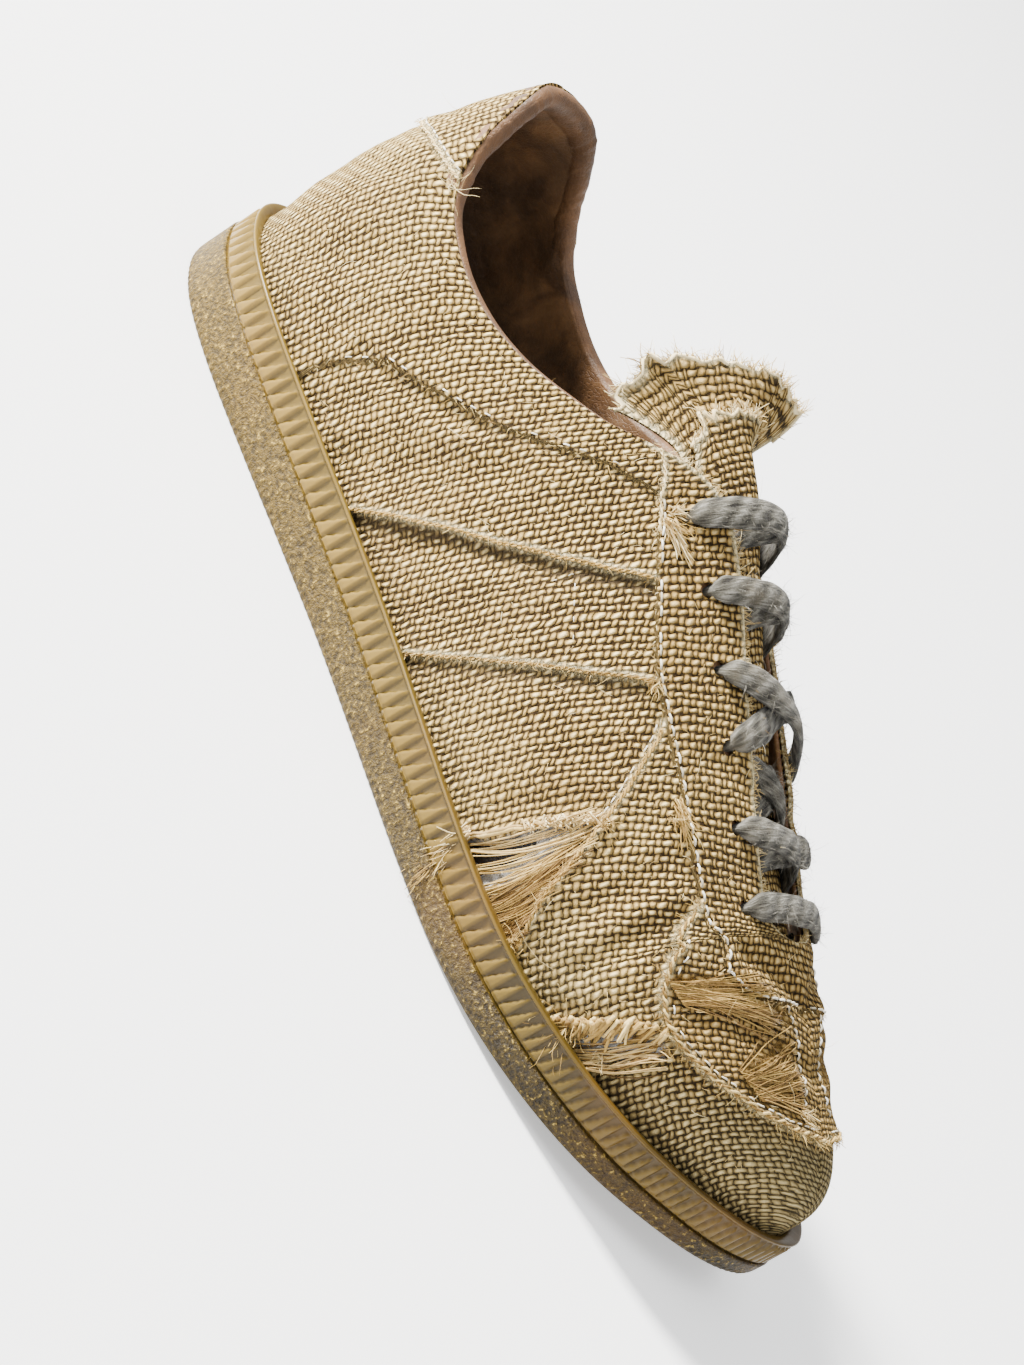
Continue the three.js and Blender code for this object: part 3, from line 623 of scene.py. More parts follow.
# %% Distance to a seam
def from_seam(a, u, seam):
    """Distance in the chart to the nearest piece of a seam, positive on the left of the way it runs, and how far along
    the seam that is."""
    best = np.full(a.shape, 1e9)
    signed, along, walked = np.zeros(a.shape), np.zeros(a.shape), 0.0
    for (a0, u0), (a1, u1) in zip(seam[:-1], seam[1:]):
        da, du = a1 - a0, u1 - u0
        length = np.hypot(da, du)
        t = np.clip(((a - a0) * da + (u - u0) * du) / length**2, 0, 1)
        gap = np.hypot(a - a0 - t * da, u - u0 - t * du)
        left = np.sign(da * (u - u0) - du * (a - a0))
        near = gap < best
        best = np.where(near, gap, best)
        signed = np.where(near, gap * left, signed)
        along = np.where(near, walked + t * length, along)
        walked += length
    return signed, along


def inside(a, u, loop):
    """Depth in millimetres inside a closed loop of the chart, negative outside: the distance to its edge, with the sign
    from counting how often a ray crosses it."""
    loop = np.concatenate([loop, loop[:1]])
    gap, _ = from_seam(a, u, loop)
    crossings = np.zeros(a.shape, int)
    for (a0, u0), (a1, u1) in zip(loop[:-1], loop[1:]):
        spans = (u0 > u) != (u1 > u)
        crossings += spans & (a < a0 + (u - u0) * (a1 - a0) / np.where(u1 == u0, 1e-9, u1 - u0))
    return np.where(crossings % 2 == 1, 1, -1) * np.abs(gap)


# %% [markdown]
# ## Relief, wear and painted shade of the skin
# A lap stands up where one piece covers another and sinks back over a few millimetres, a crease is a valley
# with a low ridge on each side, and a tear lies lower than the cloth round it. The same distances give each
# point its dirt and painted shade, its bleached edge, its brown or grey tone and the run of its cloth, which
# the material reads as numbers.

# %% Relief
LAPS = {                                      # height, fade, both in millimetres, on the left of each seam
    "heel_tab": (0.9, 9), "collar": (0.8, 16), "stripe_back": (0.85, 8), "stripe_front": (0.75, 8),
    "eyestay": (0.9, 14), "diagonal": (0.9, 7), "toe_wing": (1.2, 12)}
CREASES = np.array([                          # station and share up of both ends, width, depth
    [0.778, 0.62, 0.792, 0.22, 3.0, 0.9], [0.735, 0.66, 0.752, 0.30, 3.2, 0.8],
    [0.812, 0.72, 0.846, 0.98, 3.4, 1.3],
    [0.388, 0.22, 0.470, 0.52, 4.0, 0.7], [0.290, 0.18, 0.375, 0.62, 4.5, 0.8],
    [0.095, 0.30, 0.165, 0.80, 5.0, 0.7],
    [0.520, 0.28, 0.600, 0.60, 4.0, 0.5], [0.215, 0.45, 0.330, 0.68, 2.6, 0.8],
    [0.640, 0.20, 0.672, 0.45, 3.2, 0.6],
    [0.660, 0.82, 0.690, 0.98, 3.0, 0.5], [0.870, 0.62, 0.900, 0.98, 3.6, 0.8],
    [0.020, 0.35, 0.070, 0.66, 4.0, 0.5]])
YARN = 1.98                                   # millimetres from yarn to yarn
# degrees from the shoe's length to the warp and to the weft, which pull out of square over the last
CLOTH_RUN = {"quarter": (-32, 75), "collar": (-26, 80), "tab": (-8, 96), "stripe": (-34, 73),
             "eyestay": (-22, 78),
             "vamp": (-32, 75), "toe_wing": (-38, 66)}


def lap(distance, height, fade):
    """Step of a covering piece: full height at its edge, a quarter of it past the fade, a shallow dip beside it."""
    on = height * (1 - 0.72 * ease(distance / fade)) * ease((distance + 0.45) / 0.9)
    return np.where(distance > -0.45, on, 0) - 0.22 * np.exp(-((distance + 1.2) / 1.1) ** 2)


def dress(skin):
    """Fills a skin with its relief and with the numbers that its material reads."""
    a, u, side = skin.a, skin.u, skin.side
    gaps = {name: from_seam(a, u, skin.chart(table))[0] for name, table in SEAMS.items()}
    holes = {name: inside(a, u, skin.chart(table)) for name, table in TEARS.items()}
    bare = {name: inside(a, u, skin.chart(table)) for name, table in BARE.items()}
    if side == INNER:                         # the tears are the outer side's; this side is only rubbed there
        bare["side_rub"] = holes.pop("side_tear") - 1.5
        holes.pop("toe_tear")
    on_stay = ease((gaps["eyestay"] + 0.5) / 1.0) * (skin.share[:, None] > 0.405) * (skin.share[:,
                                                                                                None] < 0.856)
    rough = skin.place + np.array([0, 0, 300.0]) * (side > 0)
    relief = 0.38 * lattice_noise(rough, 15, 1) + 0.16 * lattice_noise(rough, 5.5, 2)
    for name, (height, fade) in LAPS.items():
        step = lap(gaps[name], height, fade)
        if name not in ("eyestay", "heel_tab"):
            step = step * (1 - on_stay)
        if name.startswith("stripe") or name == "toe_wing":
            step = step + 0.55 * np.exp(-((gaps[name] - 0.5) / 0.75) ** 2) * (1 - on_stay)
        relief = relief + step
    for s0, t0, s1, t1, width, depth in CREASES:
        line = skin.chart([(s0, t0), ((s0 + s1) / 2, (t0 + t1) / 2 + 0.015), (s1, t1)])
        gap, _ = from_seam(a, u, line)
        gap = np.abs(gap)
        relief = relief - depth * (np.exp(-(gap / width) ** 2)
                                   - 0.5 * np.exp(-((gap - 1.9 * width) / width) ** 2))
    hole = np.zeros(a.shape)
    for depth in holes.values():
        ragged = depth + 0.9 * lattice_noise(skin.place, 2.2, 7)
        hole = np.maximum(hole, ease((ragged + 0.3) / 1.0))
        relief = relief + 0.5 * np.exp(-((depth + 1.5) / 1.3) ** 2)
    relief = relief - 1.5 * hole
    rubbed = np.zeros(a.shape)
    for depth in bare.values():
        rubbed = np.maximum(rubbed, ease((depth + 1.2 * lattice_noise(skin.place, 3.5, 8) + 0.8) / 2.2))
    relief = relief - 0.35 * rubbed
    calm = ease(skin.u / 5.0)                 # the skin runs straight down behind the sidewall
    skin.relief = relief * calm
    skin.final = skin.place + skin.normal * skin.relief[..., None]

    # run of the cloth, piece by piece
    steps = np.diff(skin.place, axis=0)
    drop = ease((skin.share[1:, None] - 0.85) / 0.1)
    walked = np.sqrt(steps[..., 0] ** 2 + steps[..., 1] ** 2 + drop * steps[..., 2] ** 2)
    run = np.concatenate([np.zeros((1, ROWS)), np.cumsum(walked, axis=0)])
    run = run - run[np.searchsorted(skin.share, 0.55)]
    s, t = skin.share[:, None], skin.way[None]
    warp_turn, weft_turn = (np.full(a.shape, float(v)) for v in CLOTH_RUN["quarter"])
    pieces = np.zeros(a.shape)
    for number, (name, mask) in enumerate([
            ("collar", (gaps["collar"] > 0) & (s < 0.47)),
            ("stripe", (gaps["stripe_back"] < 0) & (gaps["stripe_front"] > 0)
             & (s > 0.3) & (s < 0.62)), ("vamp", (gaps["diagonal"] > 0) & (s > 0.6)),
            ("toe_wing", (gaps["toe_wing"] > 0) & (s > 0.76)), ("eyestay", on_stay > 0.5),
            ("tab", (gaps["heel_tab"] > 0) & (s < 0.12))], start=1):
        warp_turn = np.where(mask, CLOTH_RUN[name][0], warp_turn)
        weft_turn = np.where(mask, CLOTH_RUN[name][1], weft_turn)
        pieces = np.where(mask, number, pieces)
    warp_turn, weft_turn = np.radians(warp_turn), np.radians(weft_turn)
    square = np.sin(weft_turn - warp_turn)
    on_weft = (u * np.cos(warp_turn) - run * np.sin(warp_turn)) / square
    on_warp = (run * np.sin(weft_turn) - u * np.cos(weft_turn)) / square
    skin.cloth = np.stack([on_weft / YARN + 7.37 * pieces + 200, on_warp / YARN + 3.91 * pieces + 200,
                           pieces], -1)

    # dirt and painted shade on the low side of each lap, below its raised edge, and a darker band just above the sole;
    # bleached edges, tones
    dirt = 0.8 * np.exp(-((gaps["collar"] + 0.4) / 2.2) ** 2) * (u > 2)
    for name, weight in (("stripe_back", 1.3), ("stripe_front", 0.95), ("diagonal", 0.5), ("toe_wing", 0.6)):
        band = np.where(gaps[name] < 0, np.exp(-(np.maximum(-gaps[name] - 1.8, 0) / 3.0) ** 2), 0)
        dirt = np.maximum(dirt, weight * band * (1 - on_stay))
    dirt = np.maximum(dirt, 0.4 * np.exp(-((gaps["eyestay"] + 0.8) / 1.2) ** 2))
    low = np.interp(skin.share, [0, 1], [13, 8])[:, None]
    dirt = np.maximum(dirt, 0.55 * np.exp(-((u - low) / 2.5) ** 2))
    pale = 0.0
    for name in ("stripe_back", "stripe_front", "heel_tab", "diagonal", "toe_wing"):
        pale = np.maximum(pale, np.exp(-((gaps[name]
                                          - 0.25) / 0.7) ** 2) * (1 - on_stay * (name != "heel_tab")))
    edge = np.exp(-((skin.height[:, None] * (1 - t)) / 0.9) ** 2) * (s > 0.40) * (s < 0.80)
    pale = np.maximum(pale, np.maximum(edge, 0.8 * np.exp(-((gaps["eyestay"]
                                                             - 0.2) / 0.6) ** 2) * (s < 0.45)))
    brown = np.maximum(0.55 * on_stay, 0.85 * ease((s - 0.80) / 0.03) * ease((gaps["toe_wing"] + 0.5) / 2))
    brown = np.maximum(brown, 0.5 * np.exp(-((a - CHART * 0.66) / 22) ** 2 - ((u - 26) / 18) ** 2))
    grey = ease((s - 0.86) / 0.12) * ease((-gaps["toe_wing"] + 2) / 6) * 0.9
    grey = np.maximum(grey, 0.55 * ease((s - 0.70) / 0.1) * ease((30 - u) / 18))
    skin.values = {"cloth": skin.cloth, "dirt": dirt, "pale": pale * calm, "brown": brown, "grey": grey,
                   "hole": hole, "bare": rubbed}
    skin.gaps = gaps


for skin in skins.values():
    dress(skin)
    around = np.linalg.norm(np.diff(skin.place[:, 0], axis=0), axis=1).sum()
    print(f"side laid flat: {around:.0f} mm along the sole, {skin.height.max():.0f} mm high; "
          f"relief {skin.relief.min():.1f} to {skin.relief.max():.1f} mm")

# %% [markdown]
# ## Hessian
# Hessian is a plain weave of thick, uneven jute yarns. Warp and weft pass over each other in turn, so each
# yarn shows as a row of short bumps with gaps at the corners. The material works that out from two
# numbers at each point, how many yarns along and across the cloth it lies: each yarn's round back, times a
# wave that lifts it over every second crossing. The colour paints shade dark into the gaps and a pale
# highlight onto the tops of the yarns. Random numbers for each yarn vary its thickness and colour, and fine
# noise gives the loose fibre.

# %% Hessian material
def yarn_hash(paint, number, salt):
    """A random number from 0 to 1 for each whole number."""
    return paint.node("TexWhiteNoise", {"W": number + salt}, noise_dimensions="1D")


def woven(paint, place, cloth):
    """Height of a plain weave, whether the warp is on top, and a random shade for each yarn."""
    split = paint.node("SeparateXYZ", {"Vector": cloth}, output=0)
    parts = split.socket.node.outputs
    tremble = (paint.noise(place, 430, 1) - 0.5) * 0.5
    a = Wire(paint, parts[0]) + (paint.noise(place, 120, 1) - 0.5) * 1.1 + tremble
    b = Wire(paint, parts[1]) + (paint.noise(place, 145, 1) - 0.5) * 0.8 - tremble * 0.6
    i, j = a.floor(), b.floor()
    fa, fb = a - i - 0.5, b - j - 0.5
    wide_a = yarn_hash(paint, i, 0.5) * 0.14 + 0.27
    wide_b = yarn_hash(paint, j, 40.5) * 0.15 + 0.31
    back_a = (1 - (fa / wide_a) ** 2).root()
    back_b = (1 - ((fb + fa * 0.10) / wide_b) ** 2).root()
    odd_a, odd_b = (i * np.pi).cosine(), (j * np.pi).cosine()
    warp = back_a * (0.30 + 0.40 * odd_a * (b * np.pi).sine())
    weft = back_b * (0.52 - 0.55 * odd_b * (a * np.pi).sine())
    height = warp.above(weft)
    on_top = (warp - weft).step(-0.04, 0.04)
    shade_a, shade_b = yarn_hash(paint, i, 90.5), yarn_hash(paint, j, 130.5)
    shade = shade_b + (shade_a - shade_b) * on_top
    return height, on_top, shade, weft


def hessian(name, light="F5DC9E", body="A88A50", gap="24180A", cloth_name="cloth", worn=True):
    """Hessian with its stains: browner pieces, grey grime, dark dirt and painted shade by the laps, bleached edges
    and bare weft. Its colour also paints shade into the gaps between the yarns and a highlight onto their tops.
    """
    paint = Paint(name)
    place = paint.node("TexCoord", output=3)
    cloth = paint.node("Attribute", output=1, attribute_name=cloth_name)
    height, _, shade, weft = woven(paint, place, cloth)
    fibre = paint.noise(place, 2600, 3, 0.6)
    if worn:
        bare = paint.value("bare")
        height = height + (weft * 1.05 - height) * bare
    level = height + (fibre - 0.5) * 0.28
    # painted shade: where the weave lies low, between the yarns, the colour goes to the dark gap colour
    colour = paint.mix(level.step(0.18, 0.68), tint(gap), tint(body))
    # painted highlight: the tops of the yarns turn to the light colour
    colour = paint.mix(level.step(0.55, 1.02) * (0.55 + 0.45 * shade), colour, tint(light))
    colour = paint.mix((shade - 0.55).above(0) * 0.4, colour, tint("8F7440"))
    stain = paint.noise(place, 38, 4, 0.55)
    colour = paint.mix(stain.step(0.48, 0.75) * 0.32, colour, tint("8A7148"))
    colour = paint.mix(paint.noise(place, 16, 3).step(0.50, 0.72) * 0.25, colour, tint("DDBE78"))
    # more painted shade: the lowest parts of the weave go back to the gap colour
    colour = paint.mix(level.step(0.08, 0.40), tint(gap), colour)
    rough = 0.92
    if worn:
        # the brown and grey tones below also carry painted shade in the gaps: near-black where the weave lies low
        deep = paint.mix(level.step(0.15, 0.75), tint("1C1206"), tint("92713A"))
        colour = paint.mix(paint.value("brown") * (0.55 + 0.4 * stain), colour, deep)
        dull = paint.mix(level.step(0.1, 0.8), tint("2A2416"), tint("857A58"))
        colour = paint.mix(paint.value("grey") * (stain + 0.25).below(1), colour, dull)
        # painted shade as well as dirt: the band beside each lap darkens the cloth, and more in the low gaps between
        # the yarns, where shade falls
        grime = paint.value("dirt") * (0.45 + 0.75 * paint.noise(place, 260, 3, 0.7)) * (1.15 - 0.5 * level)
        colour = paint.mix(grime.step(0.12, 0.95) * 0.85, colour, tint("33291C"))
        strand = paint.mix(fibre.step(0.35, 0.65), tint("3E2B10"), tint("8F7038"))
        colour = paint.mix(bare * 0.75, colour, strand)
        colour = paint.mix(paint.value("pale") * fibre.step(0.25, 0.6) * 0.9, colour, tint("EBDCAE"))
        hole = paint.value("hole")
        under = paint.mix(paint.noise(place, 900, 4, 0.7).step(0.35, 0.7), tint("7F7B74"), tint("D4D4D4"))
        colour = paint.mix(hole, colour, under)
        height = height * (1 - 0.85 * hole)
    bump = height + fibre * 0.22
    return paint.finish(bump=bump, strength=1.0, distance=0.0016, Base_Color=colour, Roughness=rough,
                        Sheen_Weight=0.06, Sheen_Tint=tint("F2D9A0"), Specular_IOR_Level=0.06)


HESSIAN = hessian("hessian_cloth")


# %% Skins with their eyelets
SKIN_THICK = 1.1


def skin_panel(skin):
    """The skin's grid with round eyelet holes, closed with a second layer inside."""
    points = skin.final.reshape(-1, 3).copy()
    normals = skin.normal.reshape(-1, 3)
    quads = grid_quads(len(skin.share), ROWS, flip=skin.side > 0)[:, ::-1]
    centres = over_last(EYELET_SHARE, EYELET_OUT * skin.side, 0.0)[0]
    middle = points[quads].mean(1)
    keep = np.ones(len(quads), bool)
    for centre in centres:
        keep &= np.linalg.norm(middle - centre, axis=1) > EYELET_RADIUS
    quads = quads[keep]
    edge = np.unique(borders(quads))
    for centre in centres:
        gap = np.linalg.norm(points[edge] - centre, axis=1)
        ring = edge[gap < EYELET_RADIUS + 1.2]
        away = points[ring] - centre
        points[ring] = centre + unit(away) * EYELET_RADIUS + normals[ring] * skin.relief.reshape(-1)[ring][:, None] * 0.6
    return closed_panel(points, points - normals * SKIN_THICK, quads)


for name, side in (("outer_quarter_and_vamp", OUTER), ("inner_quarter_and_vamp", INNER)):
    skin = skins[side]
    points, quads, rim = skin_panel(skin)
    values = {key: np.concatenate([v.reshape(ROWS * len(skin.share), -1).squeeze()] * 2) for key,
              v in skin.values.items()}
    add_piece(name, points, quads, HESSIAN, "hessian", node="upper", values=values, sharp=rim)

# %% [markdown]
# ## Leather lining and collar
# Inside the hessian is one thin skin of brown calf, wrinkled where the heel has rubbed it, and at the back it
# is rolled over a little padding and shows as a soft band round the top of the heel. Ahead of that only a
# thin binding of the same leather follows the collar. The lining is one grid that runs from the outer side
# round the heel to the inner side, so that no seam stands behind the heel; the roll is an oval carried along
# the collar's edge.

# %% Leather material
def leather(name, light="7A5836", body="563A20", deep="0C0602"):
    """Calf with fine creases: two sizes of cell noise for the grain, long soft noise for the wrinkles and the shine."""
    paint = Paint(name)
    place = paint.node("TexCoord", output=3)
    grain = paint.node("TexVoronoi", {"Vector": place, "Scale": 900.0}, feature="DISTANCE_TO_EDGE")
    wrinkle = paint.noise(place, 95, 5, 0.62, 0.6)
    folds = paint.noise(place, 34, 3, 0.5, 1.2)
    shade = paint.value("shade")
    colour = paint.mix(wrinkle.step(0.3, 0.7), tint(body), tint(light))
    colour = paint.mix(folds.step(0.42, 0.66) * 0.45, colour, tint(deep))
    # painted shade: the piece's shade number mixes in the deep colour
    colour = paint.mix(shade, colour, tint(deep))
    rough = 0.44 + 0.25 * wrinkle
    bump = wrinkle * 0.8 + folds * 1.4 + grain.step(0.0, 0.12) * 0.12
    return paint.finish(bump=bump, strength=0.55, distance=0.0012, Base_Color=colour, Roughness=rough,
                        Specular_IOR_Level=0.4)


LEATHER = leather("calf_lining")


# %% Lining
def round_heel(front, count):
    """Stations from the outer side round the heel to the inner side, as signed shares, close together at the heel."""
    t = np.linspace(-1, 1, count)
    return front * np.sign(t) * (0.35 * np.abs(t) + 0.65 * np.abs(t) ** 2)


def heel_grid(signed, rows):
    """The last's surface with its normals over signed stations: the outer side where they are negative."""
    place = np.empty((len(signed), rows, 3))
    normal = np.empty_like(place)
    for side in (OUTER, INNER):
        skin = skins[side]
        pick = signed < 0 if side == OUTER else signed >= 0
        share = np.abs(signed[pick])
        i = np.interp(share, skin.share, np.arange(len(skin.share)))
        j = np.linspace(0, ROWS - 1, rows)
        i0, j0 = np.minimum(i.astype(int), len(skin.share) - 2), np.minimum(j.astype(int), ROWS - 2)
        p, q = (i - i0)[:, None, None], (j - j0)[None, :, None]
        for target, grid in ((place, skin.place), (normal, skin.normal)):
            corner = lambda di, dj: grid[(i0 + di)[:, None], (j0 + dj)[None]]
            target[pick] = ((1 - p) * (1 - q) * corner(0, 0) + p * (1 - q) * corner(1, 0)
                            + (1 - p) * q * corner(0, 1) + p * q * corner(1, 1))
    return place, unit(normal)


signed = round_heel(0.80, 240)
LINING_ROWS = 56
place, normal = heel_grid(signed, LINING_ROWS)
way = np.linspace(0, 1, LINING_ROWS)[None]
share = np.abs(signed)[:, None]
padded_part = ease((0.45 - share) / 0.05)
inset = SKIN_THICK + 0.25 + (COLLAR_WALL - 1.5 - SKIN_THICK) * padded_part * ease((way - 0.72) / 0.22)
wrinkles = 0.55 * lattice_noise(place * np.array([1.0, 1.0, 0.45]), 6.5, 11) + 0.3 * lattice_noise(place, 3.4,
                                                                                                   12)
sag = 1.6 * np.exp(-((share - 0.14) / 0.05) ** 2) * np.exp(-((way - 0.72) / 0.12) ** 2)
front_face = place - normal * (inset + 0.9 + (0.35 + wrinkles) * ease(way / 0.2) * ease((1.02 - way) / 0.1)
                               + sag)[..., None]
back_face = place - normal * inset[..., None]
# painted shade: the lining darkens to its deep colour lower down inside the shoe and in a patch at the heel, where
# shade falls
shade = 0.95 * ease((0.84 - way) / 0.50) + 0 * share
shade = np.maximum(shade, 0.8 * np.exp(-((share - 0.13) / 0.06) ** 2 - ((way - 0.45) / 0.25) ** 2))
quads = grid_quads(len(signed), LINING_ROWS, flip=True)[:, ::-1]
points, quads, rim = closed_panel(back_face.reshape(-1, 3), front_face.reshape(-1, 3), quads)
add_piece("calf_lining", points, quads, LEATHER, "leather", sharp=rim,
          values={"shade": np.concatenate([shade.ravel()] * 2)})

# %% Collar roll and binding
ROLL_END = 0.452
signed = round_heel(ROLL_END, 420)
place, normal = heel_grid(signed, ROWS)
share = np.abs(signed)
up = unit(place[:, -1] - place[:, -5])
heel = ease((0.135 - share) / 0.035)
half = 2.25 + 0.75 * heel
tall = 1.05 + 3.0 * heel
centre = place[:, -1] - normal[:, -1] * (1.95 + 0.1 * heel)[:, None] - up * (0.35 + 2.3 * heel)[:, None]
turn = 2 * np.pi * np.arange(22) / 22
pinch = 1 + 0.05 * heel[:, None] * lattice_noise(place[:, -1], 5.5, 21)[:, None]
ripple = 0.22 * heel[:, None] * lattice_noise(np.stack([signed[:, None] * 900 + 0 * turn,
                                                        0 * signed[:, None] + 2.2 * turn,
                                                        0 * signed[:, None] + 0 * turn], -1), 4.0, 22)
cosine, sine = np.cos(turn)[None], np.sin(turn)[None]
squared = 1 / (np.abs(cosine) ** 2.6 + np.abs(sine) ** 2.6) ** (1 / 2.6)
ring = (centre[:, None] + ((half[:, None] * pinch + ripple) * squared * cosine)[..., None] * normal[:, None,
                                                                                                    -1]
        + ((tall[:, None] * pinch + ripple) * squared * sine)[..., None] * up[:, None])
ends = centre[[0, -1]]
points = np.concatenate([ring.reshape(-1, 3)])
quads = grid_quads(len(signed), 22, ring=True)
first, last = np.arange(22), (len(signed) - 1) * 22 + np.arange(22)
caps = np.array([[loop[i], loop[i + 1], loop[20 - i], loop[21 - i]] for loop in (first[::-1], last)
                 for i in range(10)])
roll = add_piece("collar_roll", points, np.concatenate([quads, caps]),
                 leather("collar_calf", "6E4C2C", "523820", "241508"),
                 "leather", values={"shade": np.zeros(len(points))})

# %% [markdown]
# ## Gum sole
# The sole is one cup of translucent gum rubber. Its wall is stippled below and carries a band of small
# slanted facets above, one every four millimetres and closer round the toe, under a smooth lip; the bottom
# edge is milled to fine teeth. The wall is a profile of insets and heights carried round the outline, with
# the facets and teeth as waves of the distance walked round it. The underside has the pack's tread: cross
# grooves at heel and ball and a shallow arch.

# %% Rings of the sole
SOLE_STEPS, FACET, TOOTH = 620, 4.1, 2.7      # steps from heel to toe, pitch of the facets and of the teeth
# the lip's rings stay pale because they keep part of the facets' painted highlight
BAND_ROWS, LIP_ROWS = 11, 4                   # rings up the band's face, and rings of the lip that stay pale
dense = (1 - np.cos(np.linspace(0, np.pi, 6000))) / 2
ways = []
for column in (1, 2):
    line = np.stack([outline(dense, 0)[0], outline(dense, 0)[column]], -1)
    ways.append(np.concatenate([[0], np.cumsum(np.linalg.norm(np.diff(line, axis=0), axis=1))]))
mean_way = (ways[0] + ways[1]) / 2
SOLE_SHARE = np.interp(np.linspace(0, mean_way[-1], SOLE_STEPS + 1), mean_way, dense)
round_share = np.concatenate([SOLE_SHARE, SOLE_SHARE[-2:0:-1]])
round_side = np.concatenate([np.full(SOLE_STEPS + 1, OUTER), np.full(SOLE_STEPS - 1, INNER)])
walked = np.concatenate([np.interp(SOLE_SHARE, dense, ways[0]),
                         ways[0][-1] + ways[1][-1] - np.interp(SOLE_SHARE[-2:0:-1], dense, ways[1])])
perimeter = ways[0][-1] + ways[1][-1]
tight = 1 / (FACET - 1.2 * ease((round_share - 0.70) / 0.16))     # facets a millimetre, more round the toe
facet_way = np.concatenate([[0], np.cumsum((tight[1:] + tight[:-1]) / 2 * np.diff(walked))])
facets_all = facet_way[-1] + tight[0] * (perimeter - walked[-1])
facets_round, teeth_round = round(facets_all), round(perimeter / TOOTH)


def sole_ring(inset, height_at, proud=0.0):
    """A loop round the outline at an inset, less `proud`, with heights from the plan station."""
    x, low, high, _ = outline(round_share, inset)
    y = np.where(round_side < 0, low, high)
    loop = np.stack([x, y, height_at(x / LENGTH)], -1)
    edge = unit(np.roll(loop, -1, axis=0)[:, :2] - np.roll(loop, 1, axis=0)[:, :2])
    out = np.stack([edge[:, 1], -edge[:, 0], 0 * edge[:, 0]], -1)
    return loop + out * np.broadcast_to(proud, len(loop))[:, None]


def band_foot(share): return rim_height(share) - BAND_HEIGHT


facet_part = (facet_way / facets_all * facets_round) % 1


def facet_ramp(part):
    """How far the facets stand out at a share of the band's height: a ramp that leans by 0.9 of its pitch."""
    return ease((facet_part - 0.90 * part + 0.02) / 0.07) * (1 - ease((facet_part - 0.94) / 0.05))


tooth_wave = np.abs(((walked / perimeter * teeth_round) % 1) * 2 - 1)
rings = [sole_ring(1.4, spring, 0.0), sole_ring(0.7, lambda s: spring(s) + 0.35, -0.35 * tooth_wave),
         sole_ring(0.25, lambda s: spring(s) + 1.2, -0.55 * tooth_wave),
         sole_ring(0.1, lambda s: spring(s) + 2.2, -0.25 * tooth_wave)]
for part in np.linspace(0.12, 1, 9):
    rings.append(sole_ring(0.1 * (1 - part), lambda s,
                           p=part: (spring(s) + 2.2) * (1 - p) + (band_foot(s) - 0.5) * p))
rings.append(sole_ring(0.35, lambda s: band_foot(s) - 0.15))
BAND_FIRST = len(rings)
for part in np.linspace(0, 1, BAND_ROWS):
    body = ease(part / 0.05) * ease((1 - part) / 0.05)
    rings.append(sole_ring(1.25, lambda s, p=part: band_foot(s) + 0.1 + p * (BAND_HEIGHT - 1.2),
                           0.9 * facet_ramp(part) * body))
LIP_FIRST = len(rings)
for inset, drop in ((1.0, 1.02), (0.7, 0.95), (0.5, 0.8), (0.5, 0.5), (0.8, 0.2), (1.3, 0.1), (2.2, 0.35),
                    (3.4, 0.7),
                    (UPPER_INSET - FIT_GAP, 1.3)):
    rings.append(sole_ring(inset, lambda s, d=drop: rim_height(s) - d))
rings.append(sole_ring(UPPER_INSET - FIT_GAP, lambda s: footbed_height(s) - FIT_GAP))
wall = np.stack(rings)
count = wall.shape[1]
print("sole wall:", wall.shape[:2], "facets:", facets_round)

# %% Tread and footbed of the sole
UNDER_STEPS, BED_STEPS = 26, 6                # steps across the underside and across the footbed
GROOVES = [20, 34, 62, 76, 160, 174, 208, 222, 236, 250, 264]


def across_sole(ring, steps):
    """Rows straight across from the outer to the inner side of a loop, as a grid of stations by steps."""
    outer = ring[:SOLE_STEPS + 1]
    inner = np.concatenate([ring[:1], ring[:SOLE_STEPS:-1], ring[SOLE_STEPS:SOLE_STEPS + 1]])
    t = np.linspace(0, 1, steps + 1)[None, :, None]
    return outer[:, None] * (1 - t) + inner[:, None] * t


def tread_depth(x, y):
    """Depth of the cross grooves and of the arch, fading out towards the sides."""
    _, low, high, _ = outline(np.clip(x / LENGTH, 0, 1), 0)
    side = np.minimum(y - low, high - y)
    depth = 0 * x
    for start in GROOVES:
        depth = np.maximum(depth, GROOVE_DEPTH * ease((x - start) / 0.7 + 0.5) * ease((start + 4.5 - x) / 0.7
                                                                                      + 0.5))
    arch = ARCH_DEPTH * ease((x - 94) / 3) * ease((148 - x) / 3)
    return np.maximum(depth, arch) * ease((side - 7) / 1.5)


under = across_sole(wall[0], UNDER_STEPS)
under[:, 1:-1, 2] += tread_depth(under[:, 1:-1, 0], under[:, 1:-1, 1])
bed = across_sole(wall[-1], BED_STEPS)


def cap_quads(steps, ring_base, inner_base, flip):
    """Quads of a cap whose first and last columns are a ring's own points."""
    rows = SOLE_STEPS + 1
    index = inner_base + np.arange(rows * (steps - 1)).reshape(rows, steps - 1)
    outer = ring_base + np.arange(rows)
    inner = ring_base + np.concatenate([[0], np.arange(count - 1, SOLE_STEPS, -1), [SOLE_STEPS]])
    table = np.concatenate([outer[:, None], index, inner[:, None]], axis=1)
    quads = np.stack([table[:-1, :-1], table[1:, :-1], table[1:, 1:], table[:-1, 1:]], -1).reshape(-1, 4)
    return quads[:, ::-1] if flip else quads


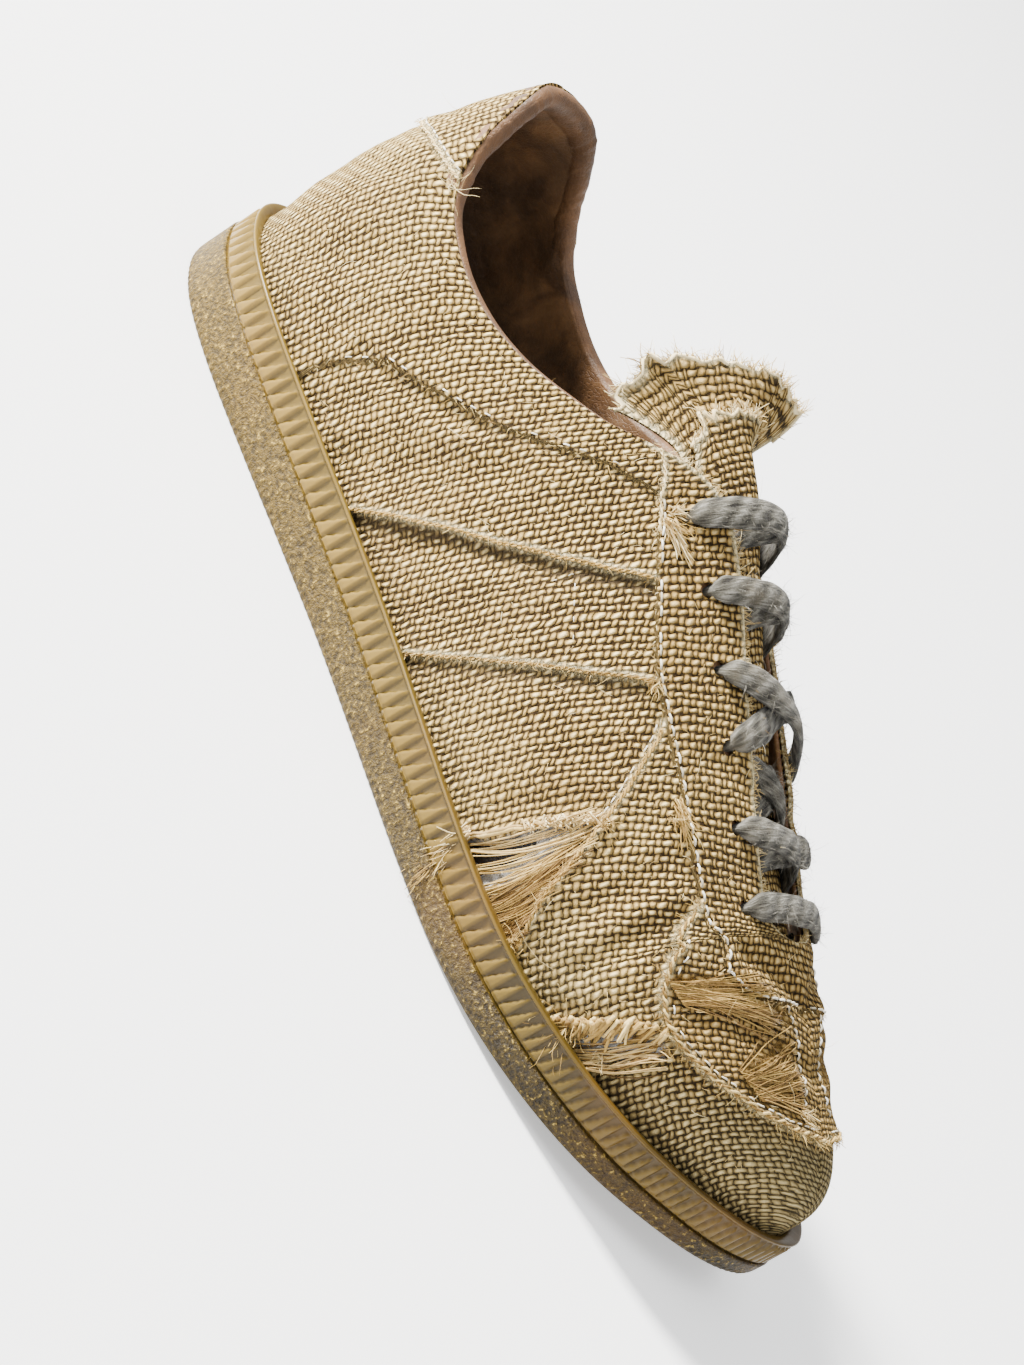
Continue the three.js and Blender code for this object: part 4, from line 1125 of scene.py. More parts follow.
points = np.concatenate([wall.reshape(-1, 3), under[:, 1:-1].reshape(-1, 3), bed[:, 1:-1].reshape(-1, 3)])
base = wall.shape[0] * count
under_points, bed_points = (SOLE_STEPS + 1) * (UNDER_STEPS - 1), (SOLE_STEPS + 1) * (BED_STEPS - 1)
quads = np.concatenate([
    grid_quads(wall.shape[0], count, ring=True),
    cap_quads(UNDER_STEPS, 0, base, flip=True),
    cap_quads(BED_STEPS, (wall.shape[0] - 1) * count, base + under_points, flip=False)])
height = np.concatenate([np.repeat(np.arange(wall.shape[0]) / wall.shape[0], count),
                         np.zeros(under_points), np.ones(bed_points)])
stipple = ease((BAND_FIRST / wall.shape[0] - height) / 0.03) * ease((height - 0.01) / 0.03)
# painted light on the band: raised facets get the lit colour and the sunk parts between them the shaded colour; the lip
# keeps 0.6 of the lit colour, and the rim's top behind it keeps the shaded colour, so that it stays dark
raised = np.zeros((wall.shape[0], count))
raised[BAND_FIRST:LIP_FIRST] = facet_ramp(np.linspace(0, 1, BAND_ROWS)[:, None])
raised[LIP_FIRST:LIP_FIRST + LIP_ROWS] = 0.6
painted_facet_light = np.concatenate([raised.ravel(), np.zeros(under_points + bed_points)])


# %% Gum rubber
def gum(name):
    """Amber rubber: pinkish tan at the heel and olive gold at the toe, stippled and darker on the lower wall, with
    small bright flecks painted as glints on the highest grains of the stipple, and darker in its hollows. The
    band's raised facets carry a painted highlight and the sunk parts between them painted shade."""
    paint = Paint(name)
    place = paint.node("TexCoord", output=3)
    along = Wire(paint, paint.node("SeparateXYZ", {"Vector": place}).socket.node.outputs[0])
    to_toe = along.step(-0.12, 0.13)
    stipple, painted_facet_light = paint.value("stipple"), paint.value("painted_facet_light")
    grain = paint.noise(place, 900, 3, 0.65)
    coarse = paint.noise(place, 420, 2, 0.5)
    cloud = paint.noise(place, 22, 3, 0.5)
    # painted highlight and shade: proud is the lit colour of the raised facets, sunk the shaded colour between them
    proud = paint.mix(to_toe, tint("745C22"), tint("57450F"))
    sunk = paint.mix(to_toe, tint("574514"), tint("352907"))
    smooth = paint.mix(painted_facet_light, sunk, proud)
    lower = paint.mix(to_toe, tint("5E4A16"), tint("3A2D08"))
    pits = paint.mix(grain.step(0.36, 0.56), paint.mix(to_toe, tint("382B09"), tint("1B1303")), lower)
    # painted glints: the highest grains of the stipple take a bright fleck colour
    pits = paint.mix(grain.step(0.58, 0.70) * 0.75, pits, tint("B89A48"))
    colour = paint.mix(stipple, smooth, pits)
    colour = paint.mix(cloud.step(0.5, 0.8) * 0.35, colour, tint("6B4A1C"))
    bump = (grain * 1.1 + coarse * 0.7) * stipple + coarse * 0.05 + cloud * 0.2
    rough = 0.30 + 0.20 * stipple + 0.12 * coarse
    return paint.finish(bump=bump, strength=1.0, distance=0.0013, Base_Color=colour, Roughness=rough,
                        Specular_IOR_Level=0.22, Coat_Weight=0.03, Coat_Roughness=0.25)


GUM = gum("gum_rubber")
add_piece("gum_sole", points, quads, GUM, "gum_rubber", node="outsole",
          values={"stipple": stipple, "painted_facet_light": painted_facet_light},
          weld=True)

# %% [markdown]
# ## Insole
# The insole is a board covered in thin leather that was once white, grey now where the foot has rested, with
# a plain brown label near the heel that carries no lettering. It is a dished grid over the footbed, closed
# below.

# %% Insole
INSOLE_INSET = UPPER_INSET + WALL + 2.0
share = (1 - np.cos(np.linspace(0.02, np.pi - 0.02, 150))) / 2
x, low, high, ridge = outline(share, INSOLE_INSET)
t = np.linspace(0, 1, 41)[None]
y = low[:, None] * (1 - t) + high[:, None] * t
rise = footbed_height(x / LENGTH)[:, None]
edge = 1 - (2 * t - 1) ** 6
top = np.stack([x[:, None] + 0 * y, y, rise + INSOLE_THICK - 0.9 * (1 - edge)
                - 0.8 * ease(1 - np.abs(2 * t - 1))
                + 0.25 * lattice_noise(np.stack([x[:, None] + 0 * y, y, 0 * y], -1), 12, 31)], -1)
bottom = np.stack([x[:, None] + 0 * y, y, rise + 0 * y], -1)
points, quads, rim = closed_panel(top.reshape(-1, 3), bottom.reshape(-1, 3), grid_quads(150, 41, flip=True))


def worn_leather_board(name):
    """Dirty white leather, greyer by soft noise, with a flat brown label in a box of the heel."""
    paint = Paint(name)
    place = paint.node("TexCoord", output=3)
    parts = paint.node("SeparateXYZ", {"Vector": place}).socket.node.outputs
    along, across = Wire(paint, parts[0]), Wire(paint, parts[1])
    cloud = paint.noise(place, 30, 5, 0.65)
    colour = paint.mix(cloud.step(0.35, 0.75), tint("D6D2C8"), tint("8B8478"))
    label = ((along + 0.075).step(-0.021, -0.0195) * (1 - (along + 0.075).step(0.0195, 0.021))
             * (across + 0.001).step(-0.012, -0.0112) * (1 - (across + 0.001).step(0.0112, 0.012)))
    colour = paint.mix(label, colour, tint("75614F"))
    bump = cloud * 0.6 + paint.noise(place, 1400, 2) * 0.1 + label * 0.3
    return paint.finish(bump=bump, strength=0.4, distance=0.0008, Base_Color=colour,
                        Roughness=0.6 - 0.1 * label)


add_piece("insole_board", points, quads, worn_leather_board("insole_leather"), "leather", node="insole",
          sharp=rim)

# %% [markdown]
# ## Tongue
# The tongue is two layers of hessian with raw edges. Each is a grid over the last, sunk under the eyestays
# and freed from the last towards the top, where it lies in a flatter crown. The upper layer stops short of
# the top edge, as the pale frayed line across the tongue shows, and the outer corner of the top is worn away.

# %% Tongue layers
def tongue_place(share, across, lift):
    """A place on the tongue: across runs from -1 to 1 over its half-width, on the last where it is held. Where it is
    free it leaves the crown by a parabola on the outer side, and rises and swings forward on the inner side."""
    waist = 3 * ease((0.47 - share) / 0.05) - 6.5 * ease((0.39 - share) / 0.035)
    half = 20 + 5.5 * ease((0.8 - share) / 0.35) - waist
    settle = ease((TONGUE_FOOT - share) / 0.05)
    sink = 1.6 * ease((0.46 - share) / 0.05)
    depth = -(TONGUE_FOOT_DROP + (TONGUE_DROP - TONGUE_FOOT_DROP) * settle + sink) + lift
    at, _ = over_last(share, across * half, depth)
    crown, _ = over_last(share, 0 * across, depth)
    free = ease((0.42 - share) / 0.07)[..., None]
    bend = 15.5 * across - 12.5 * across ** 2 - 8 * ease((-across - 0.5) / 0.5)
    flat = np.stack([crown[..., 0] + 11 * across - 3 * across ** 2, crown[..., 1] + across * half,
                     crown[..., 2] + bend], -1)
    return at + free * (flat - at)


def tongue_layer(name, foot, top_at, narrow, low, high, rows=120, columns=52, notch=0.0):
    """One layer between two lifts, closed round its raw edge. The top edge is ragged by noise."""
    t, across = np.linspace(0, 1, rows)[:, None], np.linspace(-1, 1, columns)[None] * narrow
    ragged = 0.006 * lattice_noise(np.stack([across * 40, 0 * across, 0 * across + 3], -1), 2.5, 41)
    top = top_at + notch * ease((-across - 0.62) / 0.3) + 0.012 * across ** 2 + ragged
    share = foot + (top - foot) * t
    across = np.broadcast_to(across, share.shape)
    wave = 0.5 * lattice_noise(np.stack([share * 300, across * 22, 0 * share], -1), 9, 42)
    face = tongue_place(share, across, high + wave)
    back = tongue_place(share, across, low + wave)
    row = share.mean(1)[:, None]
    smooth = tongue_place(row + 0 * across, across, high)
    over = np.cumsum(np.pad(np.linalg.norm(np.diff(smooth, axis=1), axis=2), ((0, 0), (1, 0))), axis=1)
    over = over - over[:, columns // 2][:, None]
    spine = smooth[:, columns // 2]
    walk = np.concatenate([[0], np.cumsum(np.linalg.norm(np.diff(spine, axis=0), axis=1))])
    up = np.interp(-share, -row[:, 0], walk)
    cloth = np.stack([(over + 0.14 * up) / YARN + 300, (up - 0.14 * over) / YARN + 300, 0 * share], -1)
    rim_gap = np.minimum(1 - np.abs(across) / narrow, (share - top) * 18)
    pale = np.exp(-(rim_gap * 22) ** 2)
    print(f"{name} laid flat: {walk[-1]:.0f} mm long, {np.ptp(over, axis=1).max():.0f} mm wide at most")
    shape = face.reshape(-1, 3), back.reshape(-1, 3)
    points, quads, rim = closed_panel(*shape, grid_quads(rows, columns))
    fill = lambda v: np.concatenate([np.broadcast_to(v, share.shape).reshape(-1)] * 2)
    # the tongue is darker from just below its top down to its foot, under the laces
    values = {"cloth": np.concatenate([cloth.reshape(-1, 3)] * 2), "pale": fill(pale),
              "brown": fill(0.55 + 0 * share),
              "dirt": fill(0.25 * ease((share - 0.42) / 0.1)), "grey": fill(0 * share),
              "hole": fill(0 * share),
              "bare": fill(0 * share)}
    return points, quads, rim, values, face


lower = tongue_layer("tongue_lower", TONGUE_FOOT, TONGUE_TOP + 0.004, 1.0, -0.9, 0.3, notch=0.012)
add_piece("tongue_lower_layer", *lower[:2], HESSIAN, "hessian", node="tongue", values=lower[3],
          sharp=lower[2])
upper = tongue_layer("tongue_upper", TONGUE_FOOT - 0.01, TONGUE_TOP + 0.042, 0.88, 0.35, 1.5, notch=0.012)
add_piece("tongue_upper_layer", *upper[:2], HESSIAN, "hessian", values=upper[3], sharp=upper[2])

# %% [markdown]
# ## Lace
# One flat grey cotton lace runs through all the rows: a bar over the first, then crossings that go under the
# eyestays, come up at their inner edges and dive into the next holes. Each run is a flattened tube over the
# last, with a lift from a short table along it. It narrows where it dives into a hole and stops inside the
# shoe at the top row, so there is no bow. The material has long soft fibres along the lace.

# %% Lace runs
ROW = lambda number: np.interp(number, np.arange(1, 7), EYELET_SHARE)
OUT = lambda number: np.interp(number, np.arange(1, 7), EYELET_OUT)
LACE_HALF, LACE_THICK = 3.9, 1.25             # half-width and half-thickness
LACE_STEPS, LACE_SIDES = 56, 12
# (row, side or distance) at both ends, lifts along the run, how far each end dives
OVER = [(0, 1.6), (0.18, 2.1), (0.5, 3.1), (0.82, 2.1), (1, 1.6)]
UNDER = [(0, 1.5), (0.18, 1.9), (0.42, 0.2), (0.58, 0.2), (0.82, 1.9), (1, 1.5)]
FROM_EDGE_LOW = [(0, -4.6), (0.16, -2.4), (0.42, 0.1), (0.62, 1.0), (0.8, 2.0), (1, 1.6)]
FROM_EDGE_HIGH = [(0, -4.6), (0.16, -1.6), (0.42, 2.3), (0.62, 2.8), (0.8, 2.3), (1, 1.6)]
BELOW = [(0, -5.2), (0.5, -3.4), (1, -5.2)]
BELOW_HIGH = [(0, -5.2), (0.5, -1.4), (1, -5.2)]
RUNS = [  # from row, distance; to row, distance; lifts; whether its first and last ends dive into a hole
    (1, -OUT(1), 1, OUT(1), OVER, 1, 1),
    (1.62, -15.0, 2, OUT(2), FROM_EDGE_LOW, 0, 1), (1.62, 15.0, 2, -OUT(2), FROM_EDGE_HIGH, 0, 1),
    (2.1, -14.0, 2.9, 14.0, BELOW, 0, 0), (2.1, 14.0, 2.9, -14.0, BELOW_HIGH, 0, 0),
    (3, -OUT(3), 4, OUT(4), UNDER, 1, 1), (3, OUT(3), 4, -OUT(4), OVER, 1, 1),
    (4.6, -15.0, 5, OUT(5), FROM_EDGE_LOW, 0, 1), (4.6, 15.0, 5, -OUT(5), FROM_EDGE_HIGH, 0, 1),
    (5.6, -16.0, 6, OUT(6), FROM_EDGE_LOW, 0, 1), (5.6, 16.0, 6, -OUT(6), FROM_EDGE_HIGH, 0, 1)]


def lace_run(row_a, out_a, row_b, out_b, lifts, dive_a, dive_b, number):
    """Middle line, normals, half-widths and half-thicknesses of one run. Near a diving end the lift drops steeply and
    the lace draws in to the width of the hole."""
    t = np.linspace(0, 1, LACE_STEPS)
    lifts = np.array(lifts, float)
    lift = through(lifts, t)[0]
    dive = np.maximum(dive_a * (1 - t / 0.085), dive_b * (1 - (1 - t) / 0.085)).clip(0, 1)
    lift = lift - 5.2 * dive ** 1.6
    reach = np.clip(t / 0.93 - 0.035 * dive_a, 0, 1) if dive_a and not dive_b else t
    wobble = 0.5 * lattice_noise(np.stack([9 * t, 0 * t + 3.3 * number, 0 * t], -1), 2.5, 51)
    share = ROW(row_a) + (ROW(row_b) - ROW(row_a)) * reach + 0.0022 * wobble
    away = out_a + (out_b - out_a) * reach
    place, normal = over_last(share, away, lift + 0.4 * wobble)
    normal = normal + 0.16 * lattice_noise(place, 7,
                                           52)[:, None] * unit(np.gradient(place, axis=0))[:, [1, 0, 2]]
    draw = 1 - 0.50 * ease(dive * 1.3) - 0.16 * np.maximum(dive_a * np.exp(-(t / 0.16) ** 2),
                                                           dive_b * np.exp(-((1 - t) / 0.16) ** 2))
    puff = 1 + 0.10 * lattice_noise(place, 5, 53)
    return place, unit(normal), LACE_HALF * draw * puff, LACE_THICK * (1 + 0.25 * (1 - draw)) * puff


made = [lace_run(*run, number) for number, run in enumerate(RUNS)]
middle, normals, widths, thicks = (np.stack([m[k] for m in made]) for k in range(4))
points, quads = carried(middle, thicks, widths, normals, LACE_SIDES)
walk = np.concatenate([np.zeros((len(RUNS), 1)), np.cumsum(np.linalg.norm(np.diff(middle, axis=1), axis=2),
                                                           axis=1)], axis=1)
print("lace shown:", round(float(walk[:, -1].sum()) / 1000, 2), "m in", len(RUNS), "runs")
turn = np.arange(LACE_SIDES) / LACE_SIDES
thread = np.stack(np.broadcast_arrays(walk[..., None], 20 * turn, 9.0 * np.arange(len(RUNS))[:, None, None]),
                  -1)


def lace_cotton(name):
    """Grey cotton: long fibres as noise stretched along the lace and a slanting ply, with painted shade where
    their relief lies low, a painted highlight where it stands high, and patches of grime.
    """
    paint = Paint(name)
    place = paint.node("TexCoord", output=3)
    parts = paint.node("SeparateXYZ", {"Vector": paint.node("Attribute", output=1,
                                                            attribute_name="thread")}).socket.node.outputs
    along, round_it, run = (Wire(paint, parts[k]) for k in range(3))
    stretched = paint.node("CombineXYZ", {0: along * 0.13, 1: round_it * 0.95 + along * 0.12, 2: run})
    fibre = paint.noise(stretched, 1.5, 4, 0.65, 0.4)
    ply = (along * 1.15 + round_it * 0.9 + paint.noise(stretched, 0.6, 1) * 2.2).sine() * 0.5 + 0.5
    fuzz = paint.noise(place, 2100, 3, 0.7)
    grime = paint.noise(place, 120, 3, 0.6)
    level = fibre * 0.75 + ply * 0.16 + fuzz * 0.2
    # painted shade where the fibre and ply relief lies low, then a painted highlight where it stands high
    colour = paint.mix(level.step(0.36, 0.62), tint("1A1712"), tint("545148"))
    colour = paint.mix(level.step(0.55, 0.80), colour, tint("8A877E"))
    colour = paint.mix(grime.step(0.48, 0.72) * 0.4, colour, tint("6B6250"))
    return paint.finish(bump=fibre * 0.8 + ply * 0.35 + fuzz * 0.35, strength=1.0, distance=0.0010,
                        Base_Color=colour, Roughness=0.9, Sheen_Weight=0.12, Specular_IOR_Level=0.12)


LACE = lace_cotton("lace_cotton")
add_piece("lace", points, quads, LACE, "lace", values={"thread": thread.reshape(-1, 3)},
          node=["lace_bar_1", "lace_cross_2", "lace_cross_4", "lace_cross_5", "lace_cross_6"])

# %% [markdown]
# ## Stitches, cords and loose fibre
# What makes this shoe look worn is fibre that has come free: fringes along each raw edge, the thick yarns of
# the stripe edges, tufts at the tears, yarns that still span the holes, and stray hairs all over. All are
# tubes with a few sides. A fibre's path is its root, plus its direction times the length along it, plus a
# bend that grows with the square of that length, so a row of roots and directions gives thousands of paths at
# once. The random numbers are seeded.

# %% Places along a seam
chance = np.random.default_rng(71)


def along_seam(skin, name, spacing, offset=0.0, first=0.0, last=1.0, table=None):
    """Stations and shares up at even steps along a seam, moved to its left by an offset, and the seam's direction."""
    line = skin.chart(SEAMS[name] if table is None else table)
    way = np.concatenate([[0], np.cumsum(np.hypot(*np.diff(line, axis=0).T))])
    at = np.arange(first * way[-1], last * way[-1], spacing)
    a, u = np.interp(at, way, line[:, 0]), np.interp(at, way, line[:, 1])
    da, du = np.gradient(a), np.gradient(u)
    size = np.maximum(np.hypot(da, du), 1e-9)
    a, u = a - du / size * offset, u + da / size * offset
    share = np.clip(a / CHART, 0.0005, 0.9995)
    return share, np.clip(u / np.interp(share, skin.share, skin.height), 0, 1)


def frame_at(skin, share, way, lift=0.0):
    """Places on the skin with three directions: out, along the shoe, up the side."""
    place, normal = skin.at(share, way, lift)
    ahead = skin.at(np.minimum(share + 0.004, 1), way)[0] - skin.at(np.maximum(share - 0.004, 0), way)[0]
    above = skin.at(share, np.minimum(way + 0.02, 1))[0] - skin.at(share, np.maximum(way - 0.02, 0))[0]
    return place, normal, unit(ahead), unit(above)


def fibre_paths(root, direction, length, bend, steps=4, wave=0.0):
    """Paths from each root: direction times the way along, plus a bend times its square, plus a wave in any way."""
    t = np.linspace(0, 1, steps)[None, :, None]
    length = np.broadcast_to(length, (len(root),))[:, None, None]
    paths = root[:, None] + length * (unit(direction)[:, None] * t + bend[:, None] * t * t)
    if wave:
        phase = chance.uniform(0, 6, (len(root), 1, 3))
        paths = paths + wave * length * t * np.sin(phase + t * chance.uniform(3, 9, (len(root), 1, 3)))
    return paths


def random_ways(count, spread=1.0):
    return chance.normal(0, spread, (count, 3))


class Fibres:
    """Collects tubes of one kind and joins them into one piece, with a random shade for each fibre."""

    def __init__(self):
        self.parts, self.shade = [], []

    def add(self, paths, radius, taper=0.6, shade=(0.0, 1.0), width=None, normals=None, sides=4):
        n, m, _ = paths.shape
        thin = np.linspace(1, 1 - taper, m)[None]
        radius = np.broadcast_to(np.asarray(radius, float).reshape(-1, 1) if np.ndim(radius) == 1 else radius,
                                 (n, m)) * thin
        wide = None if width is None else np.broadcast_to(width, (n, m)) * thin
        self.parts.append(carried(paths, radius, wide, normals, sides))
        self.shade.append(np.repeat(chance.uniform(*shade, n), m * sides))

    def piece(self, name, material, slot):
        points, quads = joined(self.parts)
        return add_piece(name, points, quads, material, slot, values={"shade": np.concatenate(self.shade)})


# %% Materials of thread and fibre
def fibre_paint(name, dark, middle, light, rough=0.85):
    """Loose fibre: one shade for each, mottled by fine noise."""
    paint = Paint(name)
    place = paint.node("TexCoord", output=3)
    mottle = paint.noise(place, 900, 2)
    shade = (paint.value("shade") * 0.8 + mottle * 0.4 - 0.1)
    colour = paint.mix(shade.step(0.0, 0.5), tint(dark), tint(middle))
    colour = paint.mix(shade.step(0.5, 1.0), colour, tint(light))
    return paint.finish(bump=mottle, strength=0.3, distance=0.0003, Base_Color=colour, Roughness=rough,
                        Sheen_Weight=0.08, Specular_IOR_Level=0.12)


STITCH = fibre_paint("stitch_thread", "8F8570", "CFC7B2", "F1EDE2")
JUTE = fibre_paint("loose_jute", "5E4520", "A28346", "D4BA7C")
BLEACHED = fibre_paint("bleached_fibre", "86683A", "BFA46C", "E4D3A6")
LACE_FUZZ = fibre_paint("lace_fuzz", "3F3C34", "716D63", "A09D92")
TAWNY = fibre_paint("tawny_yarn", "38260E", "6B5026", "A18046")

# %% Stitches
stitches = Fibres()
STITCH_ROWS = [                               # seam, offset, first and last part, length, gap, radius
    ("eyestay", 1.0, 0.08, 0.995, 2.3, 1.0, 0.30), ("toe_stitch", 0.0, 0.0, 1.0, 2.0, 1.0, 0.28),
    ("diagonal", -0.9, 0.02, 0.75, 1.9, 1.1, 0.22), ("toe_wing", 2.3, 0.1, 0.98, 2.0, 1.2, 0.22),
    ("collar", 1.1, 0.16, 0.92, 1.7, 2.6, 0.20), ("heel_tab", 1.6, 0.0, 1.0, 1.8, 1.2, 0.24),
    ("stripe_stitch", 0.0, 0.0, 1.0, 1.5, 2.8, 0.14)]
for side, skin in skins.items():
    for name, offset, first, last, length, gap, radius in STITCH_ROWS:
        share, way = along_seam(skin, name, 0.35, offset, first, last)
        place, normal, _, _ = frame_at(skin, share, way)
        walk = np.concatenate([[0], np.cumsum(np.linalg.norm(np.diff(place, axis=0), axis=1))])
        starts = np.arange(0, walk[-1] - length, length + gap)
        starts = starts[chance.uniform(size=len(starts)) > (0.35
                                                            if name in ("collar", "stripe_stitch") else 0.06)]
        t = np.linspace(0, 1, 7)
        at = starts[:, None] + chance.uniform(-0.2, 0.2, (len(starts), 1)) + length * t
        points = np.stack([np.interp(at, walk, place[:, k]) for k in range(3)], -1)
        out = np.stack([np.interp(at, walk, normal[:, k]) for k in range(3)], -1)
        points = points + out * (radius * (0.2 + 1.1 * np.sin(np.pi * t))
                                 - 0.25 * (1 - np.sin(np.pi * t)))[None, :, None]
        stitches.add(points, radius, taper=0.05, sides=6)
stitches.piece("stitching", STITCH, "lace")

# %% Cords of the raw stripe edges, and fringes
cords, fringe, pale_fringe = Fibres(), Fibres(), Fibres()
CORDS = [                                     # seam, offset, radius, first and last part, which fibre
    ("stripe_back", 0.15, 0.44, 0.0, 0.99, cords), ("stripe_front", 0.15, 0.38, 0.0, 0.99, cords),
    ("diagonal", 0.35, 0.46, 0.03, 1.0, cords), ("toe_wing", 0.35, 0.52, 0.05, 1.0, cords),
    ("heel_tab", 0.1, 0.36, 0.0, 1.0, pale_fringe), ("eyestay", 0.1, 0.34, 0.0, 0.13, pale_fringe)]
for side, skin in skins.items():
    for name, offset, radius, first, last, target in CORDS:
        share, way = along_seam(skin, name, 0.55, offset, first, last)
        place, normal, _, _ = frame_at(skin, share, way)
        line = unit(np.gradient(place, axis=0))
        sideways = np.cross(normal, line)
        walk = 0.55 * np.arange(len(place))
        for strand in range(2):
            turn = walk * 2 * np.pi / 3.4 + np.pi * strand
            lump = 1 + 0.35 * lattice_noise(place + 40 * strand, 2.6, 61)
            path = place + (normal * (np.cos(turn) * 0.32 + 0.22)[:, None]
                            + sideways * (np.sin(turn) * 0.42)[:, None]
                            + 0.25 * sideways * lattice_noise(place, 4, 62)[:, None]) * (radius / 0.55)
            target.add(path[None], (radius * 0.62 * lump)[None], taper=0.0, sides=6)

FRINGES = [                                   # seam, per millimetre, length, first and last part, lean to the low side, where
    ("stripe_back", 1.6, 1.0, 0.0, 1.0, 0.6, fringe), ("stripe_front", 2.2, 1.1, 0.0, 1.0, 0.8, fringe),
    ("diagonal", 2.4, 1.5, 0.0, 1.0, 0.3, fringe), ("toe_wing", 3.6, 1.7, 0.0, 1.0, 0.9, fringe),
    ("heel_tab", 2.6, 1.4, 0.0, 1.0, 0.7, pale_fringe), ("eyestay", 3.6, 1.3, 0.0, 0.14, 0.5, pale_fringe),
    ("eyestay", 0.8, 1.2, 0.14, 1.0, 0.5, pale_fringe), ("collar", 0.5, 1.6, 0.0, 1.0, 0.4, fringe)]
for side, skin in skins.items():
    for name, density, length, first, last, lean, target in FRINGES:
        share, way = along_seam(skin, name, 1 / density, 0.15, first, last)
        place, normal, ahead, above = frame_at(skin, share, way)
        line = unit(np.gradient(place, axis=0))
        low_side = -np.cross(normal, line) * (-side)
        count = len(place)
        direction = low_side * lean + normal * chance.uniform(0.15, 0.9, (count, 1)) + line * chance.normal(0, 0.6, (count, 1))
        size = length * chance.lognormal(0, 0.42, count)
        target.add(fibre_paths(place + 0.35 * random_ways(count), direction, size,
                               random_ways(count, 0.35) - normal * 0.3),
                   chance.uniform(0.07, 0.14, count))
    # the eyestay's inner edge and the front of the throat
    share = np.sort(chance.uniform(0.415, 0.797, 700))
    place, normal, ahead, above = frame_at(skin, share, np.full(700, 0.998), -0.4)
    direction = above * 0.8 + normal * chance.uniform(-0.5, 0.7, (700, 1)) + ahead * chance.normal(0, 0.5,
                                                                                                   (700, 1))
    pale_fringe.add(fibre_paths(place, direction, 1.5 * chance.lognormal(0, 0.4, 700),
                                random_ways(700, 0.35)),
                    chance.uniform(0.07, 0.13, 700))

# the tongue's top edges
for layer, density in ((lower[4], 9), (upper[4], 6)):
    edge = layer[-1]
    back = unit(layer[-1] - layer[-4])
    at = chance.uniform(0, len(edge) - 1.001, density * 60)
    k, part = at.astype(int), (at % 1)[:, None]
    root = edge[k] * (1 - part) + edge[k + 1] * part - np.array([0, 0, 0.5])
    count = len(root)
    direction = back[k] + random_ways(count, 0.45)
    pale_fringe.add(fibre_paths(root, direction, 1.9 * chance.lognormal(0, 0.4, count),
                                random_ways(count, 0.35)),
                    chance.uniform(0.09, 0.2, count))
    path = edge + 0.3 * np.stack([lattice_noise(edge, 2.0, 63 + k) for k in range(3)],
                                 -1) - np.array([0, 0, 0.5])
    pale_fringe.add(path[None], 0.55 * (1 + 0.4 * lattice_noise(edge, 3, 66))[None], taper=0.0, sides=6)

# %% Tears: spanning yarns, stubs and tufts
spans = Fibres()
skin = skins[OUTER]


def spanning(count, start_a, start_b, end_a, end_b, radius, bow, lift, target, rise, loose, shade):
    """Yarns across a tear: starts and ends spread evenly along two lines of the chart, each yarn bowed sideways."""
    part = np.sort(chance.uniform(0, 1, count))[:, None]
    t = np.linspace(0, 1, 12)[None]
    start = np.array(start_a) * (1 - part) + np.array(start_b) * part
    end = np.array(end_a) * (1 - part) + np.array(end_b) * part
    end = end + chance.normal(0, loose, end.shape)
    share = start[:, :1] * (1 - t) + end[:, :1] * t + (bow + chance.normal(0, 0.0022,
                                                                           (count, 1))) * np.sin(np.pi * t)
    way = start[:, 1:] * (1 - t) + end[:, 1:] * t
    place, normal = skin.at(share, way)
    high = lift * np.sin(np.pi * t) ** 0.6 + chance.uniform(0.2, 0.9, (count, 1)) + 0.25 * chance.normal(0, 1, (count, 12)) * 0.3
    place = place + normal * (0.6 * high + rise)[..., None]
    target.add(place, chance.uniform(0.6, 1.25, count) * radius, taper=0.1, shade=shade)


